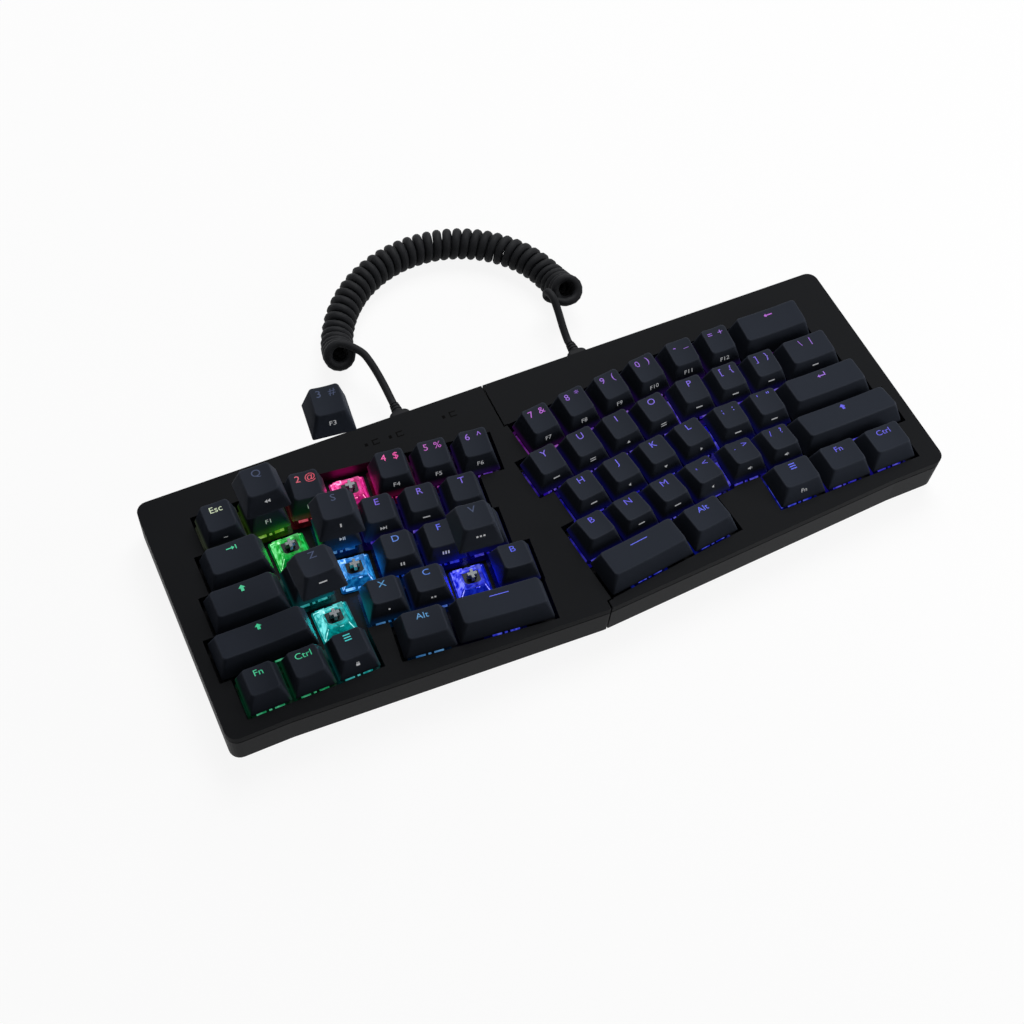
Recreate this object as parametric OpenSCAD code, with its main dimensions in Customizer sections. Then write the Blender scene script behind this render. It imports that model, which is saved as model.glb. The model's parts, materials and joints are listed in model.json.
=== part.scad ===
// Ergonomic split keyboard in two halves that stand side by side.
// The inner key blocks are turned, and a curly cable joins the halves at the back.
// X runs along the width, Y to the back and Z up. The feet stand on Z = 0. Sizes are in mm.

/* [Layout] */
// distance between neighbouring key centres
key_pitch = 19.05; // [18.6:0.05:19.6]
// turn of the inner key blocks, in degrees
block_turn = 6.3; // [5.8:0.1:6.8]
// width of the key field, in key pitches
field_units = 17.2; // [17.15:0.05:17.6]

/* [Keycaps] */
// gap between neighbouring caps at the skirt
cap_gap = 0.95; // [0.8:0.05:1.2]
// narrowing of a cap from skirt to top, both sides together
cap_taper = 6.35; // [5.5:0.05:6.8]
// lean of the front face from skirt to top
cap_front_lean = 3.8; // [3:0.1:4]
// lean of the back face from skirt to top
cap_back_lean = 1.8; // [1:0.1:2.2]
// thickness of the cap's walls and top
cap_wall = 1.5; // [1.2:0.1:1.6]
// height of the skirt above the switch plate
skirt_rise = 6.2; // [5.8:0.1:6.6]
// how far a key travels
key_travel = 4; // [3:0.1:4.2]

/* [Switches] */
// side of the square hole in the switch plate
switch_hole = 14; // [13.9:0.05:14.1]
// side of the clear cover where it meets the plate
cover_foot = 15.6; // [15:0.1:15.8]
// side of the clear cover at its top
cover_head = 10; // [9:0.1:10.2]
// height of the clear cover above the plate
cover_rise = 6.6; // [6:0.1:6.8]
// width of the stem's slider
slider_width = 7; // [6.6:0.1:7.2]
// depth of the stem's slider
slider_depth = 5.4; // [5.2:0.1:5.6]
// length of the stem's slider
slider_length = 5.4; // [5:0.1:5.8]
// span of the stem's cross
cross_span = 4.1; // [3.9:0.05:4.2]
// thickness of the cross's arms
cross_arm = 1.3; // [1.1:0.05:1.5]
// height of the cross above the slider
cross_rise = 3.8; // [3.4:0.1:4]
// side of the cap's post
post_side = 5.2; // [5:0.05:5.4]

/* [Case] */
// height of the case without feet
case_height = 19.2; // [18.4:0.1:22]
// height of the bezel above the switch plate
bezel_rise = 7.2; // [6.8:0.1:8]
// thickness of the case's walls
case_wall = 2; // [1.6:0.1:2.4]
// thickness of the case's floor and bezel
case_floor = 2; // [1.6:0.1:2.4]
// height of the top cover's side
cover_side = 3.8; // [3:0.1:4.4]
// groove between the top cover and the bottom case
groove = 0.6; // [0.3:0.1:0.8]
// bezel left and right of the key field
side_margin = 6.3; // [5:0.1:9]
// bezel behind the key field
back_margin = 15.8; // [14:0.1:20]
// bezel in front of the outer key blocks
front_margin = 7; // [6:0.1:10]
// how far the front edge comes forward at the seam
front_drop = 7.2; // [6.8:0.1:9]
// straight part of the front edge at each end
front_straight = 26; // [15:1:50]
// radius of the case's four corners
corner_radius = 5; // [3:0.5:7]
// gap round the key field
well_gap = 0.85; // [0.6:0.05:1.1]
// thickness of the rim that goes down from the bezel round the keys
well_rim = 1.4; // [1:0.1:1.8]
// gap between the two halves
seam_gap = 0.7; // [0.5:0.05:0.9]
// thickness of the switch plate
plate_thickness = 1.5; // [1.2:0.1:1.6]
// thickness of the circuit board
board_thickness = 1.6; // [1.2:0.1:1.8]
// distance from the plate's top to the board's top
board_drop = 5; // [4.8:0.1:5.4]
// height of the rubber feet
foot_height = 2; // [1:0.1:4]
// radius of the rubber feet
foot_radius = 4.5; // [3:0.1:5]

/* [Screws] */
// radius of the screw shafts
screw_radius = 1.3; // [1:0.05:1.5]
// radius of the screw heads
screw_head_radius = 2.4; // [2:0.05:2.6]
// height of the screw heads
screw_head_height = 1.5; // [1:0.1:1.6]
// radius of the screw posts
boss_radius = 3.6; // [3.2:0.1:4]

/* [Cable] */
// diameter of the cord
cord_diameter = 3; // [2.6:0.1:3]
// radius of the curls, to the middle of the cord
curl_radius = 5.7; // [5:0.1:5.9]
// number of curls, the last one not whole
curl_count = 39; // [30:1:39]
// width of the plug's grip
plug_width = 10; // [9.6:0.1:12]
// height of the plug's grip
plug_height = 6; // [5.5:0.1:7]
// length of the plug's grip
plug_length = 7; // [6:0.1:9]
// length of the strain relief
relief_length = 5; // [4:0.1:7]
// width of the sockets
socket_width = 9.2; // [8.8:0.1:9.6]
// height of the sockets
socket_height = 3.2; // [3:0.1:3.2]
// depth of the sockets
socket_depth = 7.4; // [7:0.1:8]

/* [Battery] */
// gap between the battery and the board above it
battery_gap = 0.4; // [0.3:0.1:1]

/* [Hidden] */
// one node, or all of them

// The four blocks of keys: left outer, left inner, right inner, right outer.
LO = 0;
LI = 1;
RI = 2;
RO = 3;
ROWS = 5;
LAST_ROW = ROWS - 1;
HOME_ROW = 2;
// where each row starts from its block's pivot, in key pitches
row_start = [
    [0.75, 0.5, 0.25, 0, 0.25],
    [-0.94, -0.54, -0.4, 0, 0.48],
    [-3.85, -4.25, -3.875, -4.24, -4.24],
    [-4.75, -5, -4.5, -4.75, -4]
];
block_angle = [0, -block_turn, block_turn, 0];
// each block turns about its own point on the home row, in key pitches from the field's left end
pivot_units = [[0, -2], [3.51, -2.03], [field_units - 4.71, -2.03], [field_units, -2]];

// Keys of each node: block, row, place from the row's start and width, in key pitches.
esc_set = [[LO, 0, 0, 1]];
tab_set = [[LO, 1, 0, 1.5]];
caps_lock_set = [[LO, 2, 0, 1.75]];
left_shift_set = [[LO, 3, 0, 2.25]];
left_fn_set = [[LO, 4, 0, 1]];
left_ctrl_set = [[LO, 4, 1, 1]];
left_menu_set = [[LO, 4, 2, 1]];
left_alt_set = [[LI, 4, 0, 1.25]];
left_space_set = [[LI, 4, 1.25, 2.25]];
left_number_set = [[LO, 0, 1, 1], [LI, 0, 0, 1], [LI, 0, 2, 1], [LI, 0, 3, 1], [LI, 0, 4, 1]];
left_upper_set = [for (i = [0 : 3]) [LI, 1, i, 1]];
left_home_set = [[LO, 2, 1.75, 1], [LI, 2, 1, 1], [LI, 2, 2, 1], [LI, 2, 3, 1]];
left_lower_set = [[LI, 3, 0, 1], [LI, 3, 1, 1], [LI, 3, 3, 1]];
key_3 = [LI, 0, 1, 1];
key_q = [LO, 1, 1.5, 1];
key_s = [LI, 2, 0, 1];
key_z = [LO, 3, 2.25, 1];
key_v = [LI, 3, 2, 1];
backspace_set = [[RO, 0, 2, 2]];
backslash_set = [[RO, 1, 3, 1.5]];
enter_set = [[RO, 2, 2, 2.25]];
right_shift_set = [[RO, 3, 2, 2.75]];
right_menu_set = [[RO, 4, 0, 1.25]];
right_fn_set = [[RO, 4, 1.25, 1.25]];
right_ctrl_set = [[RO, 4, 2.5, 1.25]];
right_space_set = [[RI, 4, 0, 2.25]];
right_alt_set = [[RI, 4, 2.25, 1.25]];
right_number_set = concat([for (i = [0 : 3]) [RI, 0, i, 1]], [for (i = [0 : 1]) [RO, 0, i, 1]]);
right_upper_set = concat([for (i = [0 : 3]) [RI, 1, i, 1]], [for (i = [0 : 2]) [RO, 1, i, 1]]);
right_home_set = concat([for (i = [0 : 3]) [RI, 2, i, 1]], [for (i = [0 : 1]) [RO, 2, i, 1]]);
right_lower_set = concat([for (i = [0 : 3]) [RI, 3, i, 1]], [for (i = [0 : 1]) [RO, 3, i, 1]]);
lifted_set = [key_3, key_q, key_s, key_z, key_v];
left_keys = concat(esc_set, tab_set, caps_lock_set, left_shift_set, left_fn_set, left_ctrl_set,
    left_menu_set, left_alt_set, left_space_set, left_number_set, left_upper_set, left_home_set,
    left_lower_set, lifted_set);
right_keys = concat(backspace_set, backslash_set, enter_set, right_shift_set, right_menu_set,
    right_fn_set, right_ctrl_set, right_space_set, right_alt_set, right_number_set, right_upper_set,
    right_home_set, right_lower_set);

// Cap heights above the skirt, from the back row to the front row.
cap_back_height = [11.6, 9.2, 8.1, 7.4, 8.3];
cap_front_height = [10.2, 8.7, 8.8, 9.9, 9.1];

// Where the five caps that are taken off float, from their seats.
lift_height = 60;
lift_3 = [-7.4, -0.7, lift_height];
lift_q = [-10.5, -6.9, lift_height];
lift_s = [-9, -8.1, lift_height];
lift_z = [-8.5, -10, lift_height];
lift_v = [-5.7, -9.6, lift_height];

// Heights.
case_bottom = foot_height;
bezel_top = case_bottom + case_height;
plate_top = bezel_top - bezel_rise;
plate_bottom = plate_top - plate_thickness;
board_top = plate_top - board_drop;
board_bottom = board_top - board_thickness;
floor_top = case_bottom + case_floor;
bezel_bottom = bezel_top - case_floor;
cover_bottom = bezel_top - cover_side;
wall_top = cover_bottom - groove;
skirt_bottom = plate_top + skirt_rise;
low_wall_top = plate_top + 0.25 * (skirt_rise - key_travel);
slider_gap = 0.2;
slider_top = plate_top + cover_rise - slider_gap;
slider_bottom = slider_top - slider_length;
cross_top = slider_top + cross_rise;
pocket_bottom = slider_bottom - key_travel - 2 * slider_gap;
cross_gap = 0.05;
post_gap = 0.3;
fit_gap = 0.3;
plate_gap = 0.3;
base_side = switch_hole - 0.1;

// Plan of the case, from the field's left end and the back row.
back_y = key_pitch / 2 + back_margin;
front_y = -(LAST_ROW + 0.5) * key_pitch - front_margin;
apex_y = front_y - front_drop;
field_width = field_units * key_pitch;
plan_shift = [-field_width / 2, -(back_y + apex_y) / 2];
seam_back_x = 8.247 * key_pitch;
seam_front_x = 8.394 * key_pitch;
seam_reach = back_y - apex_y;
gap_close = 2;

// Screw posts and feet, in key pitches from the field's left end and the back row.
back_post_y = (back_y - case_wall - boss_radius - 2.2) / key_pitch;
left_posts = [[0.26, back_post_y], [4.1, back_post_y], [7.6, back_post_y], [3.49, -4.15], [7.61, -1.68]];
right_posts = [[9.03, back_post_y], [13.1, back_post_y], [16.9, back_post_y], [12.6, -4.2]];
left_foot_places = [[0.3, 0.35], [7.6, 0.35], [0.4, -4.3], [7.7, -4.6]];
right_foot_places = [[9, 0.35], [16.9, 0.35], [9.1, -4.6], [16.8, -4.3]];

// Sockets and plugs.
left_socket_x = 6.245 * key_pitch;
right_socket_x = 10.99 * key_pitch;
host_socket_x = 3.1 * key_pitch;
socket_wall = 0.35;
socket_back = back_y - case_wall;
socket_z = board_top + socket_height / 2;
tongue_length = 6;
neck_gap = 0.3;
neck_width = 9.2;
neck_height = 4.6;
grip_gap = 0.3;
relief_radius = 2.6;
plug_end = back_y + grip_gap + plug_length + relief_length;

// The curly cable lies in an arch behind the keyboard, and its ends bend up.
arch_centre = [165.6, 60];
arch_radius = 61;
arch_tuck = 6.5;
arch_start = 172;
arch_end = 3.4;
arch_low = curl_radius + cord_diameter / 2 + 0.2;
end_bend = 48;
end_bend_radius = 30;
curl_start_angle = 120;
curl_end_angle = -90;
curl_rings = 8;
curl_sides = 6;
cord_radius = cord_diameter / 2;
turns = curl_count - 1 + (curl_start_angle - curl_end_angle) / 360;
lead_steps = 3;
lead_sides = 8;
small_step = 0.001;

// Battery, in key pitches from the field's left end and the back row.
battery_place = [3.9, -3];
battery_size = [52, 34];
battery_thickness = board_bottom - floor_top - battery_gap;

charcoal = [0.07, 0.07, 0.075];
cap_grey = [0.1, 0.105, 0.12];
board_green = [0.05, 0.16, 0.09];
clear_plastic = [0.8, 0.85, 0.9];
steel_grey = [0.6, 0.61, 0.62];
rubber_black = [0.03, 0.03, 0.03];

// Plan point of a place in a block.
function turned(p, a) = [p.x * cos(a) - p.y * sin(a), p.x * sin(a) + p.y * cos(a)];
function from_block(block, p) = plan_shift + key_pitch * pivot_units[block] + turned(p, block_angle[block]);
function row_y(row) = (HOME_ROW - row) * key_pitch;
function key_local(k) = [(row_start[k[0]][k[1]] + k[2] + k[3] / 2) * key_pitch, row_y(k[1])];
function key_place(k) = from_block(k[0], key_local(k));
function key_turn(k) = block_angle[k[0]];
function at_units(p) = plan_shift + key_pitch * p;

// The seam follows the left side of the right inner block, row by row.
function seam_x(row) = row_start[RI][row] * key_pitch - well_gap;
function seam_step(row) = row_y(row) - key_pitch / 2
    + (row_start[RI][row + 1] <= row_start[RI][row] ? well_gap : -well_gap);
seam_rows = [for (r = [0 : LAST_ROW]) each [
    [seam_x(r), r == 0 ? row_y(0) + key_pitch / 2 + well_gap : seam_step(r - 1)],
    [seam_x(r), r == LAST_ROW ? row_y(r) - key_pitch / 2 - well_gap : seam_step(r)]
]];
function seam_slide(p, x) = p + turned([1, 0], block_turn) * ((x - p.x) / cos(block_turn));
seam_plan = [for (p = seam_rows) from_block(RI, p)];
seam_first = seam_slide(seam_plan[0], plan_shift.x + seam_back_x);
seam_last = seam_slide(seam_plan[len(seam_plan) - 1], plan_shift.x + seam_front_x);
seam_line = concat([[seam_first.x, seam_first.y + seam_reach], seam_first], seam_plan,
    [seam_last, [seam_last.x, seam_last.y - seam_reach]]);

module whole_outline() {
    offset(r = corner_radius, $fn = 24)
        offset(delta = -corner_radius)
            translate(plan_shift)
                polygon([
                    [-side_margin, back_y],
                    [field_width + side_margin, back_y],
                    [field_width + side_margin, front_y],
                    [field_width + side_margin - front_straight, front_y],
                    [(seam_back_x + seam_front_x) / 2, apex_y],
                    [front_straight - side_margin, front_y],
                    [-side_margin, front_y]
                ]);
}

// One half's outline; side is -1 for the left half and 1 for the right.
module half_outline(side) {
    far = side * field_width;
    intersection() {
        whole_outline();
        offset(delta = -seam_gap / 2)
            polygon(concat([[far, back_y + seam_reach]], seam_line, [[far, apex_y - seam_reach]]));
    }
}

module cells(keys, grow) {
    for (k = keys)
        translate(key_place(k))
            rotate(key_turn(k))
                square([k[3] * key_pitch + 2 * grow, key_pitch + 2 * grow], center = true);
}

// The opening round a half's keys; narrow wedges between the blocks are part of it.
module well(keys, grow) {
    offset(delta = grow - gap_close)
        cells(keys, gap_close);
}

module slab(bottom, top) {
    translate([0, 0, bottom])
        linear_extrude(top - bottom)
            children();
}

module posts(places, radius, bottom, top) {
    for (p = places)
        translate([at_units(p).x, at_units(p).y, bottom])
            cylinder(r = radius, h = top - bottom, $fn = 16);
}

module top_cover(side, keys) {
    color(charcoal)
        difference() {
            union() {
                slab(bezel_bottom, bezel_top)
                    half_outline(side);
                slab(cover_bottom, bezel_bottom)
                    difference() {
                        half_outline(side);
                        offset(delta = -case_wall)
                            half_outline(side);
                    }
                slab(plate_top + fit_gap, bezel_bottom)
                    intersection() {
                        offset(delta = -case_wall - fit_gap)
                            half_outline(side);
                        well(keys, well_gap + well_rim);
                    }
            }
            slab(plate_top - 1, bezel_top + 1)
                well(keys, well_gap);
        }
}

module bottom_case(side, keys, post_places, socket_places) {
    color(charcoal)
        difference() {
            union() {
                slab(case_bottom, floor_top)
                    half_outline(side);
                slab(floor_top, low_wall_top)
                    difference() {
                        half_outline(side);
                        offset(delta = -case_wall)
                            half_outline(side);
                    }
                slab(low_wall_top, wall_top)
                    difference() {
                        half_outline(side);
                        offset(delta = -case_wall)
                            half_outline(side);
                        well(keys, well_gap + well_rim);
                    }
                posts(post_places, boss_radius, floor_top, board_bottom);
            }
            posts(post_places, screw_radius + fit_gap, case_bottom - 1, board_bottom + 1);
            posts(post_places, screw_head_radius + fit_gap, case_bottom - 1, case_bottom + screw_head_height);
            for (x = socket_places)
                translate([plan_shift.x + x, plan_shift.y + back_y, socket_z])
                    cube([neck_width + 2 * neck_gap, 3 * case_wall, neck_height + 2 * neck_gap], center = true);
        }
}

module switch_plate(side, keys, post_places) {
    color(steel_grey)
        difference() {
            slab(plate_bottom, plate_top)
                difference() {
                    offset(delta = -case_wall - plate_gap)
                        half_outline(side);
                    for (k = keys)
                        translate(key_place(k))
                            rotate(key_turn(k))
                                square(switch_hole, center = true);
                }
            posts(post_places, screw_radius + cross_gap, plate_bottom - 1, plate_top + 1);
        }
}

module circuit_board(side, post_places) {
    color(board_green)
        difference() {
            slab(board_bottom, board_top)
                offset(delta = -case_wall - 2 * plate_gap)
                    half_outline(side);
            posts(post_places, screw_radius + fit_gap, board_bottom - 1, board_top + 1);
        }
}

// A block with a level foot and a head whose front and back edges have their own heights.
module tapered_block(foot, bottom, head_x, head_front, head_back, front_top, back_top) {
    polyhedron(
        points = [
            [-foot.x / 2, -foot.y / 2, bottom],
            [foot.x / 2, -foot.y / 2, bottom],
            [foot.x / 2, foot.y / 2, bottom],
            [-foot.x / 2, foot.y / 2, bottom],
            [-head_x / 2, head_front, front_top],
            [head_x / 2, head_front, front_top],
            [head_x / 2, head_back, back_top],
            [-head_x / 2, head_back, back_top]
        ],
        faces = [[0, 1, 2, 3], [7, 6, 5, 4], [4, 5, 1, 0], [6, 7, 3, 2], [5, 6, 2], [5, 2, 1], [7, 4, 0], [7, 0, 3]]
    );
}

module at_key(k) {
    translate([key_place(k).x, key_place(k).y, 0])
        rotate(key_turn(k))
            children();
}

module slider_hole(bottom, top) {
    translate([0, 0, (bottom + top) / 2])
        cube([slider_width + 2 * slider_gap, slider_depth + 2 * slider_gap, top - bottom], center = true);
}

// A switch's base stands on the board in the plate's hole, and its clear cover lies on the plate.
module switch_housings(keys) {
    color(clear_plastic)
        for (k = keys)
            at_key(k) {
                difference() {
                    translate([0, 0, (board_top + plate_top) / 2])
                        cube([base_side, base_side, board_drop], center = true);
                    slider_hole(pocket_bottom, plate_top + 1);
                }
                difference() {
                    tapered_block([cover_foot, cover_foot], plate_top, cover_head, -cover_head / 2,
                        cover_head / 2, plate_top + cover_rise, plate_top + cover_rise);
                    slider_hole(plate_top - 1, plate_top + cover_rise + 1);
                }
            }
}

module stem(k) {
    color(steel_grey)
        at_key(k) {
            translate([0, 0, (slider_bottom + slider_top) / 2])
                cube([slider_width, slider_depth, slider_length], center = true);
            translate([0, 0, slider_top])
                linear_extrude(cross_rise) {
                    square([cross_span, cross_arm], center = true);
                    square([cross_arm, cross_span], center = true);
                }
        }
}

module cap(k) {
    row = k[1];
    foot = [k[3] * key_pitch - cap_gap, key_pitch - cap_gap];
    head_x = foot.x - cap_taper;
    head_front = -foot.y / 2 + cap_front_lean;
    head_back = foot.y / 2 - cap_back_lean;
    front_top = skirt_bottom + cap_front_height[row];
    back_top = skirt_bottom + cap_back_height[row];
    hollow = [foot.x - 2 * cap_wall, foot.y - 2 * cap_wall];
    color(cap_grey)
        at_key(k) {
            difference() {
                tapered_block(foot, skirt_bottom, head_x, head_front, head_back, front_top, back_top);
                difference() {
                    tapered_block(hollow, skirt_bottom - small_step, head_x - 2 * cap_wall,
                        head_front + cap_wall, head_back - cap_wall, front_top - cap_wall, back_top - cap_wall);
                    translate([0, 0, slider_top + post_gap + cap_wall * 10])
                        cube([post_side, post_side, cap_wall * 20], center = true);
                }
                translate([0, 0, cross_top + cross_gap - cap_wall * 5])
                    cube([cross_span + 2 * cross_gap, cross_span + 2 * cross_gap, cap_wall * 10], center = true);
            }
        }
}

module keys_of(set) {
    for (k = set) {
        cap(k);
        stem(k);
    }
}

module feet(places) {
    color(rubber_black)
        posts(places, foot_radius, 0, foot_height);
}

module screws(post_places) {
    color(steel_grey) {
        posts(post_places, screw_radius, case_bottom + screw_head_height / 2, plate_top);
        posts(post_places, screw_head_radius, case_bottom, case_bottom + screw_head_height);
    }
}

module socket(x) {
    color(steel_grey)
        translate([plan_shift.x + x, plan_shift.y + socket_back - socket_depth / 2, socket_z])
            difference() {
                cube([socket_width, socket_depth, socket_height], center = true);
                translate([0, socket_depth / 2, 0])
                    cube([socket_width - 2 * socket_wall, 2 * (socket_depth - socket_wall),
                        socket_height - 2 * socket_wall], center = true);
            }
}

module plug(x) {
    tongue = [socket_width - 2 * socket_wall - fit_gap, tongue_length + case_wall + grip_gap,
        socket_height - 2 * socket_wall - fit_gap];
    color(rubber_black)
        translate([plan_shift.x + x, plan_shift.y + back_y, socket_z]) {
            translate([0, grip_gap + plug_length / 2, 0])
                cube([plug_width, plug_length, plug_height], center = true);
            translate([0, (grip_gap - case_wall + fit_gap) / 2, 0])
                cube([neck_width, grip_gap + case_wall - fit_gap, neck_height], center = true);
            translate([0, grip_gap - tongue.y / 2, 0])
                cube(tongue, center = true);
            translate([0, grip_gap + plug_length, 0])
                rotate([-90, 0, 0])
                    cylinder(r = relief_radius, h = relief_length, $fn = 16);
        }
}

module battery() {
    color(steel_grey)
        translate([at_units(battery_place).x, at_units(battery_place).y, floor_top])
            cube([battery_size.x, battery_size.y, battery_thickness]);
}

// Curly cable: the middle of the coil, its frame and the cord that winds round it.
// Places along the coil are lengths from its left end.
flat_length = arch_radius * (arch_start - arch_end) * PI / 180;
end_run = end_bend_radius * sin(end_bend);
end_length = end_bend_radius * end_bend * PI / 180;
coil_length = flat_length - 2 * end_run + 2 * end_length;
function end_turn(s) = end_bend * max(0, 1 - min(s, coil_length - s) / end_length);
function near_run(s) = s < end_length ? end_run - end_bend_radius * sin(end_turn(s)) : s - end_length + end_run;
function run(s) = s > coil_length / 2 ? flat_length - near_run(coil_length - s) : near_run(s);
function arch_angle(s) = arch_start + (arch_end - arch_start) * run(s) / flat_length;
function arch_r(s) = arch_radius - arch_tuck * pow(run(s) / flat_length, 6);
function arch(s) = [
    plan_shift.x + arch_centre.x + arch_r(s) * cos(arch_angle(s)),
    plan_shift.y + arch_centre.y + arch_r(s) * sin(arch_angle(s)),
    arch_low + end_bend_radius * (1 - cos(end_turn(s)))
];
function unit(v) = v / norm(v);
function along(s) = unit(arch(min(coil_length, s + small_step)) - arch(max(0, s - small_step)));
function outward(s) = unit(cross(along(s), [0, 0, 1])) * -1;
function upward(s) = cross(along(s), outward(s));
function curl_angle(s) = curl_start_angle - 360 * turns * s / coil_length;
function from_axis(s) = cos(curl_angle(s)) * outward(s) + sin(curl_angle(s)) * upward(s);
function round_axis(s) = sin(curl_angle(s)) * outward(s) - cos(curl_angle(s)) * upward(s);
function curl_point(s) = arch(s) + curl_radius * from_axis(s);
curl_steps = ceil(turns * curl_rings);
curl_path = [for (i = [0 : curl_steps]) curl_point(coil_length * i / curl_steps)];
coil_start_way = round_axis(0) * -1;
coil_end_way = round_axis(coil_length);
coil_start = curl_path[0] + cord_diameter * coil_start_way;
coil_end = curl_path[curl_steps] + cord_diameter * coil_end_way;

// A ring of points round p, in the plane of two unit vectors.
function ring(p, a, b, radius, sides) =
    [for (i = [0 : sides - 1]) p + radius * (cos(360 * i / sides) * a + sin(360 * i / sides) * b)];
function path_way(path, i) = unit(path[min(len(path) - 1, i + 1)] - path[max(0, i - 1)]);
coil_path = concat([coil_start], curl_path, [coil_end]);
coil_ways = concat([-coil_start_way], [-coil_start_way],
    [for (i = [1 : curl_steps - 1]) path_way(curl_path, i)], [coil_end_way], [coil_end_way]);
coil_sides_a = [for (i = [0 : len(coil_path) - 1])
    from_axis(coil_length * max(0, min(1, (i - 1) / curl_steps)))];
coil_rings = [for (i = [0 : len(coil_path) - 1])
    ring(coil_path[i], coil_sides_a[i], cross(coil_ways[i], coil_sides_a[i]), cord_radius, curl_sides)];

// Skin of a tube from its rings, in triangles.
module tube(rings) {
    n = len(rings[0]);
    last = len(rings) - 1;
    polyhedron(
        points = [for (r = rings) each r],
        faces = concat(
            [for (i = [1 : n - 2]) [0, i, i + 1]],
            [for (i = [1 : n - 2]) [last * n, last * n + i + 1, last * n + i]],
            [for (r = [0 : last - 1], i = [0 : n - 1]) [r * n + i, r * n + n + i, r * n + (i + 1) % n]],
            [for (r = [0 : last - 1], i = [0 : n - 1])
                [r * n + (i + 1) % n, r * n + n + i, r * n + n + (i + 1) % n]]
        )
    );
}

// Least gap between neighbouring curls, from the points of the cord's middle line.
curl_gap = min([for (i = [0 : curl_steps - curl_rings], j = [curl_rings - 3 : curl_rings + 3])
    if (i + j <= curl_steps) norm(curl_path[i + j] - curl_path[i])]) - cord_diameter;
echo(curl_gap = curl_gap);

// The free stretches run from the plugs to the coil's ends.
left_plug_tip = [plan_shift.x + left_socket_x, plan_shift.y + plug_end, socket_z];
right_plug_tip = [plan_shift.x + right_socket_x, plan_shift.y + plug_end, socket_z];
left_lead_stops = [
    left_plug_tip,
    left_plug_tip + [0, cord_diameter, 0],
    left_plug_tip + [-0.3, 10, 1.5],
    left_plug_tip + [-1, 17, 3.4],
    left_plug_tip + [-2.2, 23, 5.6],
    left_plug_tip + [-3.9, 28, 7.2],
    coil_start + cord_diameter * coil_start_way,
    coil_start
];
right_lead_stops = [
    right_plug_tip,
    right_plug_tip + [0, cord_diameter, 0],
    right_plug_tip + [0.4, 9, 2.2],
    right_plug_tip + [0.9, 16, 6],
    right_plug_tip + [0.9, 22, 9.2],
    right_plug_tip + [0.5, 26.4, 8.6],
    right_plug_tip + [0.3, 28, 5.8],
    right_plug_tip + [1.2, 26.6, 3.4],
    coil_end + cord_diameter * coil_end_way,
    coil_end
];

// A smooth way through four stops, from the second to the third.
function smooth_point(a, b, c, d, t) = 0.5 * (2 * b + (c - a) * t + (2 * a - 5 * b + 4 * c - d) * t * t
    + (3 * b - a - 3 * c + d) * t * t * t);
function smooth(stops) = let (
    last = len(stops) - 1,
    p = concat([2 * stops[0] - stops[1]], stops, [2 * stops[last] - stops[last - 1]])
) concat(
    [stops[0]],
    [for (i = [1 : last - 2], j = [0 : lead_steps - 1])
        smooth_point(p[i], p[i + 1], p[i + 2], p[i + 3], j / lead_steps)],
    [stops[last - 1], stops[last]]
);
// Side vectors that turn no more than the way does.
function carried(ways, i, a) = i == len(ways) ? [] :
    let (n = unit(a - ways[i] * (a * ways[i])))
        concat([n], carried(ways, i + 1, n));

module lead(stops, first_way, last_way) {
    path = smooth(stops);
    last = len(path) - 1;
    ways = [for (i = [0 : last]) i <= 1 ? first_way : i >= last - 1 ? last_way : path_way(path, i)];
    side = carried(ways, 0, [0, 0, 1]);
    color(rubber_black)
        tube([for (i = [0 : last]) ring(path[i], side[i], cross(ways[i], side[i]), cord_radius, lead_sides)]);
}

module left_top_cover() { top_cover(-1, left_keys); }
module left_bottom_case() { bottom_case(-1, left_keys, left_posts, [left_socket_x, host_socket_x]); }
module left_switch_plate() { switch_plate(-1, left_keys, left_posts); }
module left_circuit_board() { circuit_board(-1, left_posts); }
module left_switch_housings() { switch_housings(left_keys); }
module left_feet() { feet(left_foot_places); }
module left_screws() { screws(left_posts); }
module left_bridge_socket() { socket(left_socket_x); }
module host_socket() { socket(host_socket_x); }
module right_top_cover() { top_cover(1, right_keys); }
module right_bottom_case() { bottom_case(1, right_keys, right_posts, [right_socket_x]); }
module right_switch_plate() { switch_plate(1, right_keys, right_posts); }
module right_circuit_board() { circuit_board(1, right_posts); }
module right_switch_housings() { switch_housings(right_keys); }
module right_feet() { feet(right_foot_places); }
module right_screws() { screws(right_posts); }
module right_bridge_socket() { socket(right_socket_x); }
module left_plug() { plug(left_socket_x); }
module right_plug() { plug(right_socket_x); }
module left_lead() { lead(left_lead_stops, [0, 1, 0], -coil_start_way); }
module right_lead() { lead(right_lead_stops, [0, 1, 0], -coil_end_way); }
module cable_coil() {
    color(rubber_black)
        tube(coil_rings);
}
module esc_key() { keys_of(esc_set); }
module tab_key() { keys_of(tab_set); }
module caps_lock_key() { keys_of(caps_lock_set); }
module left_shift_key() { keys_of(left_shift_set); }
module left_fn_key() { keys_of(left_fn_set); }
module left_ctrl_key() { keys_of(left_ctrl_set); }
module left_menu_key() { keys_of(left_menu_set); }
module left_alt_key() { keys_of(left_alt_set); }
module left_space_bar() { keys_of(left_space_set); }
module left_number_keys() { keys_of(left_number_set); }
module left_upper_keys() { keys_of(left_upper_set); }
module left_home_keys() { keys_of(left_home_set); }
module left_lower_keys() { keys_of(left_lower_set); }
module backspace_key() { keys_of(backspace_set); }
module backslash_key() { keys_of(backslash_set); }
module enter_key() { keys_of(enter_set); }
module right_shift_key() { keys_of(right_shift_set); }
module right_menu_key() { keys_of(right_menu_set); }
module right_fn_key() { keys_of(right_fn_set); }
module right_ctrl_key() { keys_of(right_ctrl_set); }
module right_alt_key() { keys_of(right_alt_set); }
module right_space_bar() { keys_of(right_space_set); }
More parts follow.
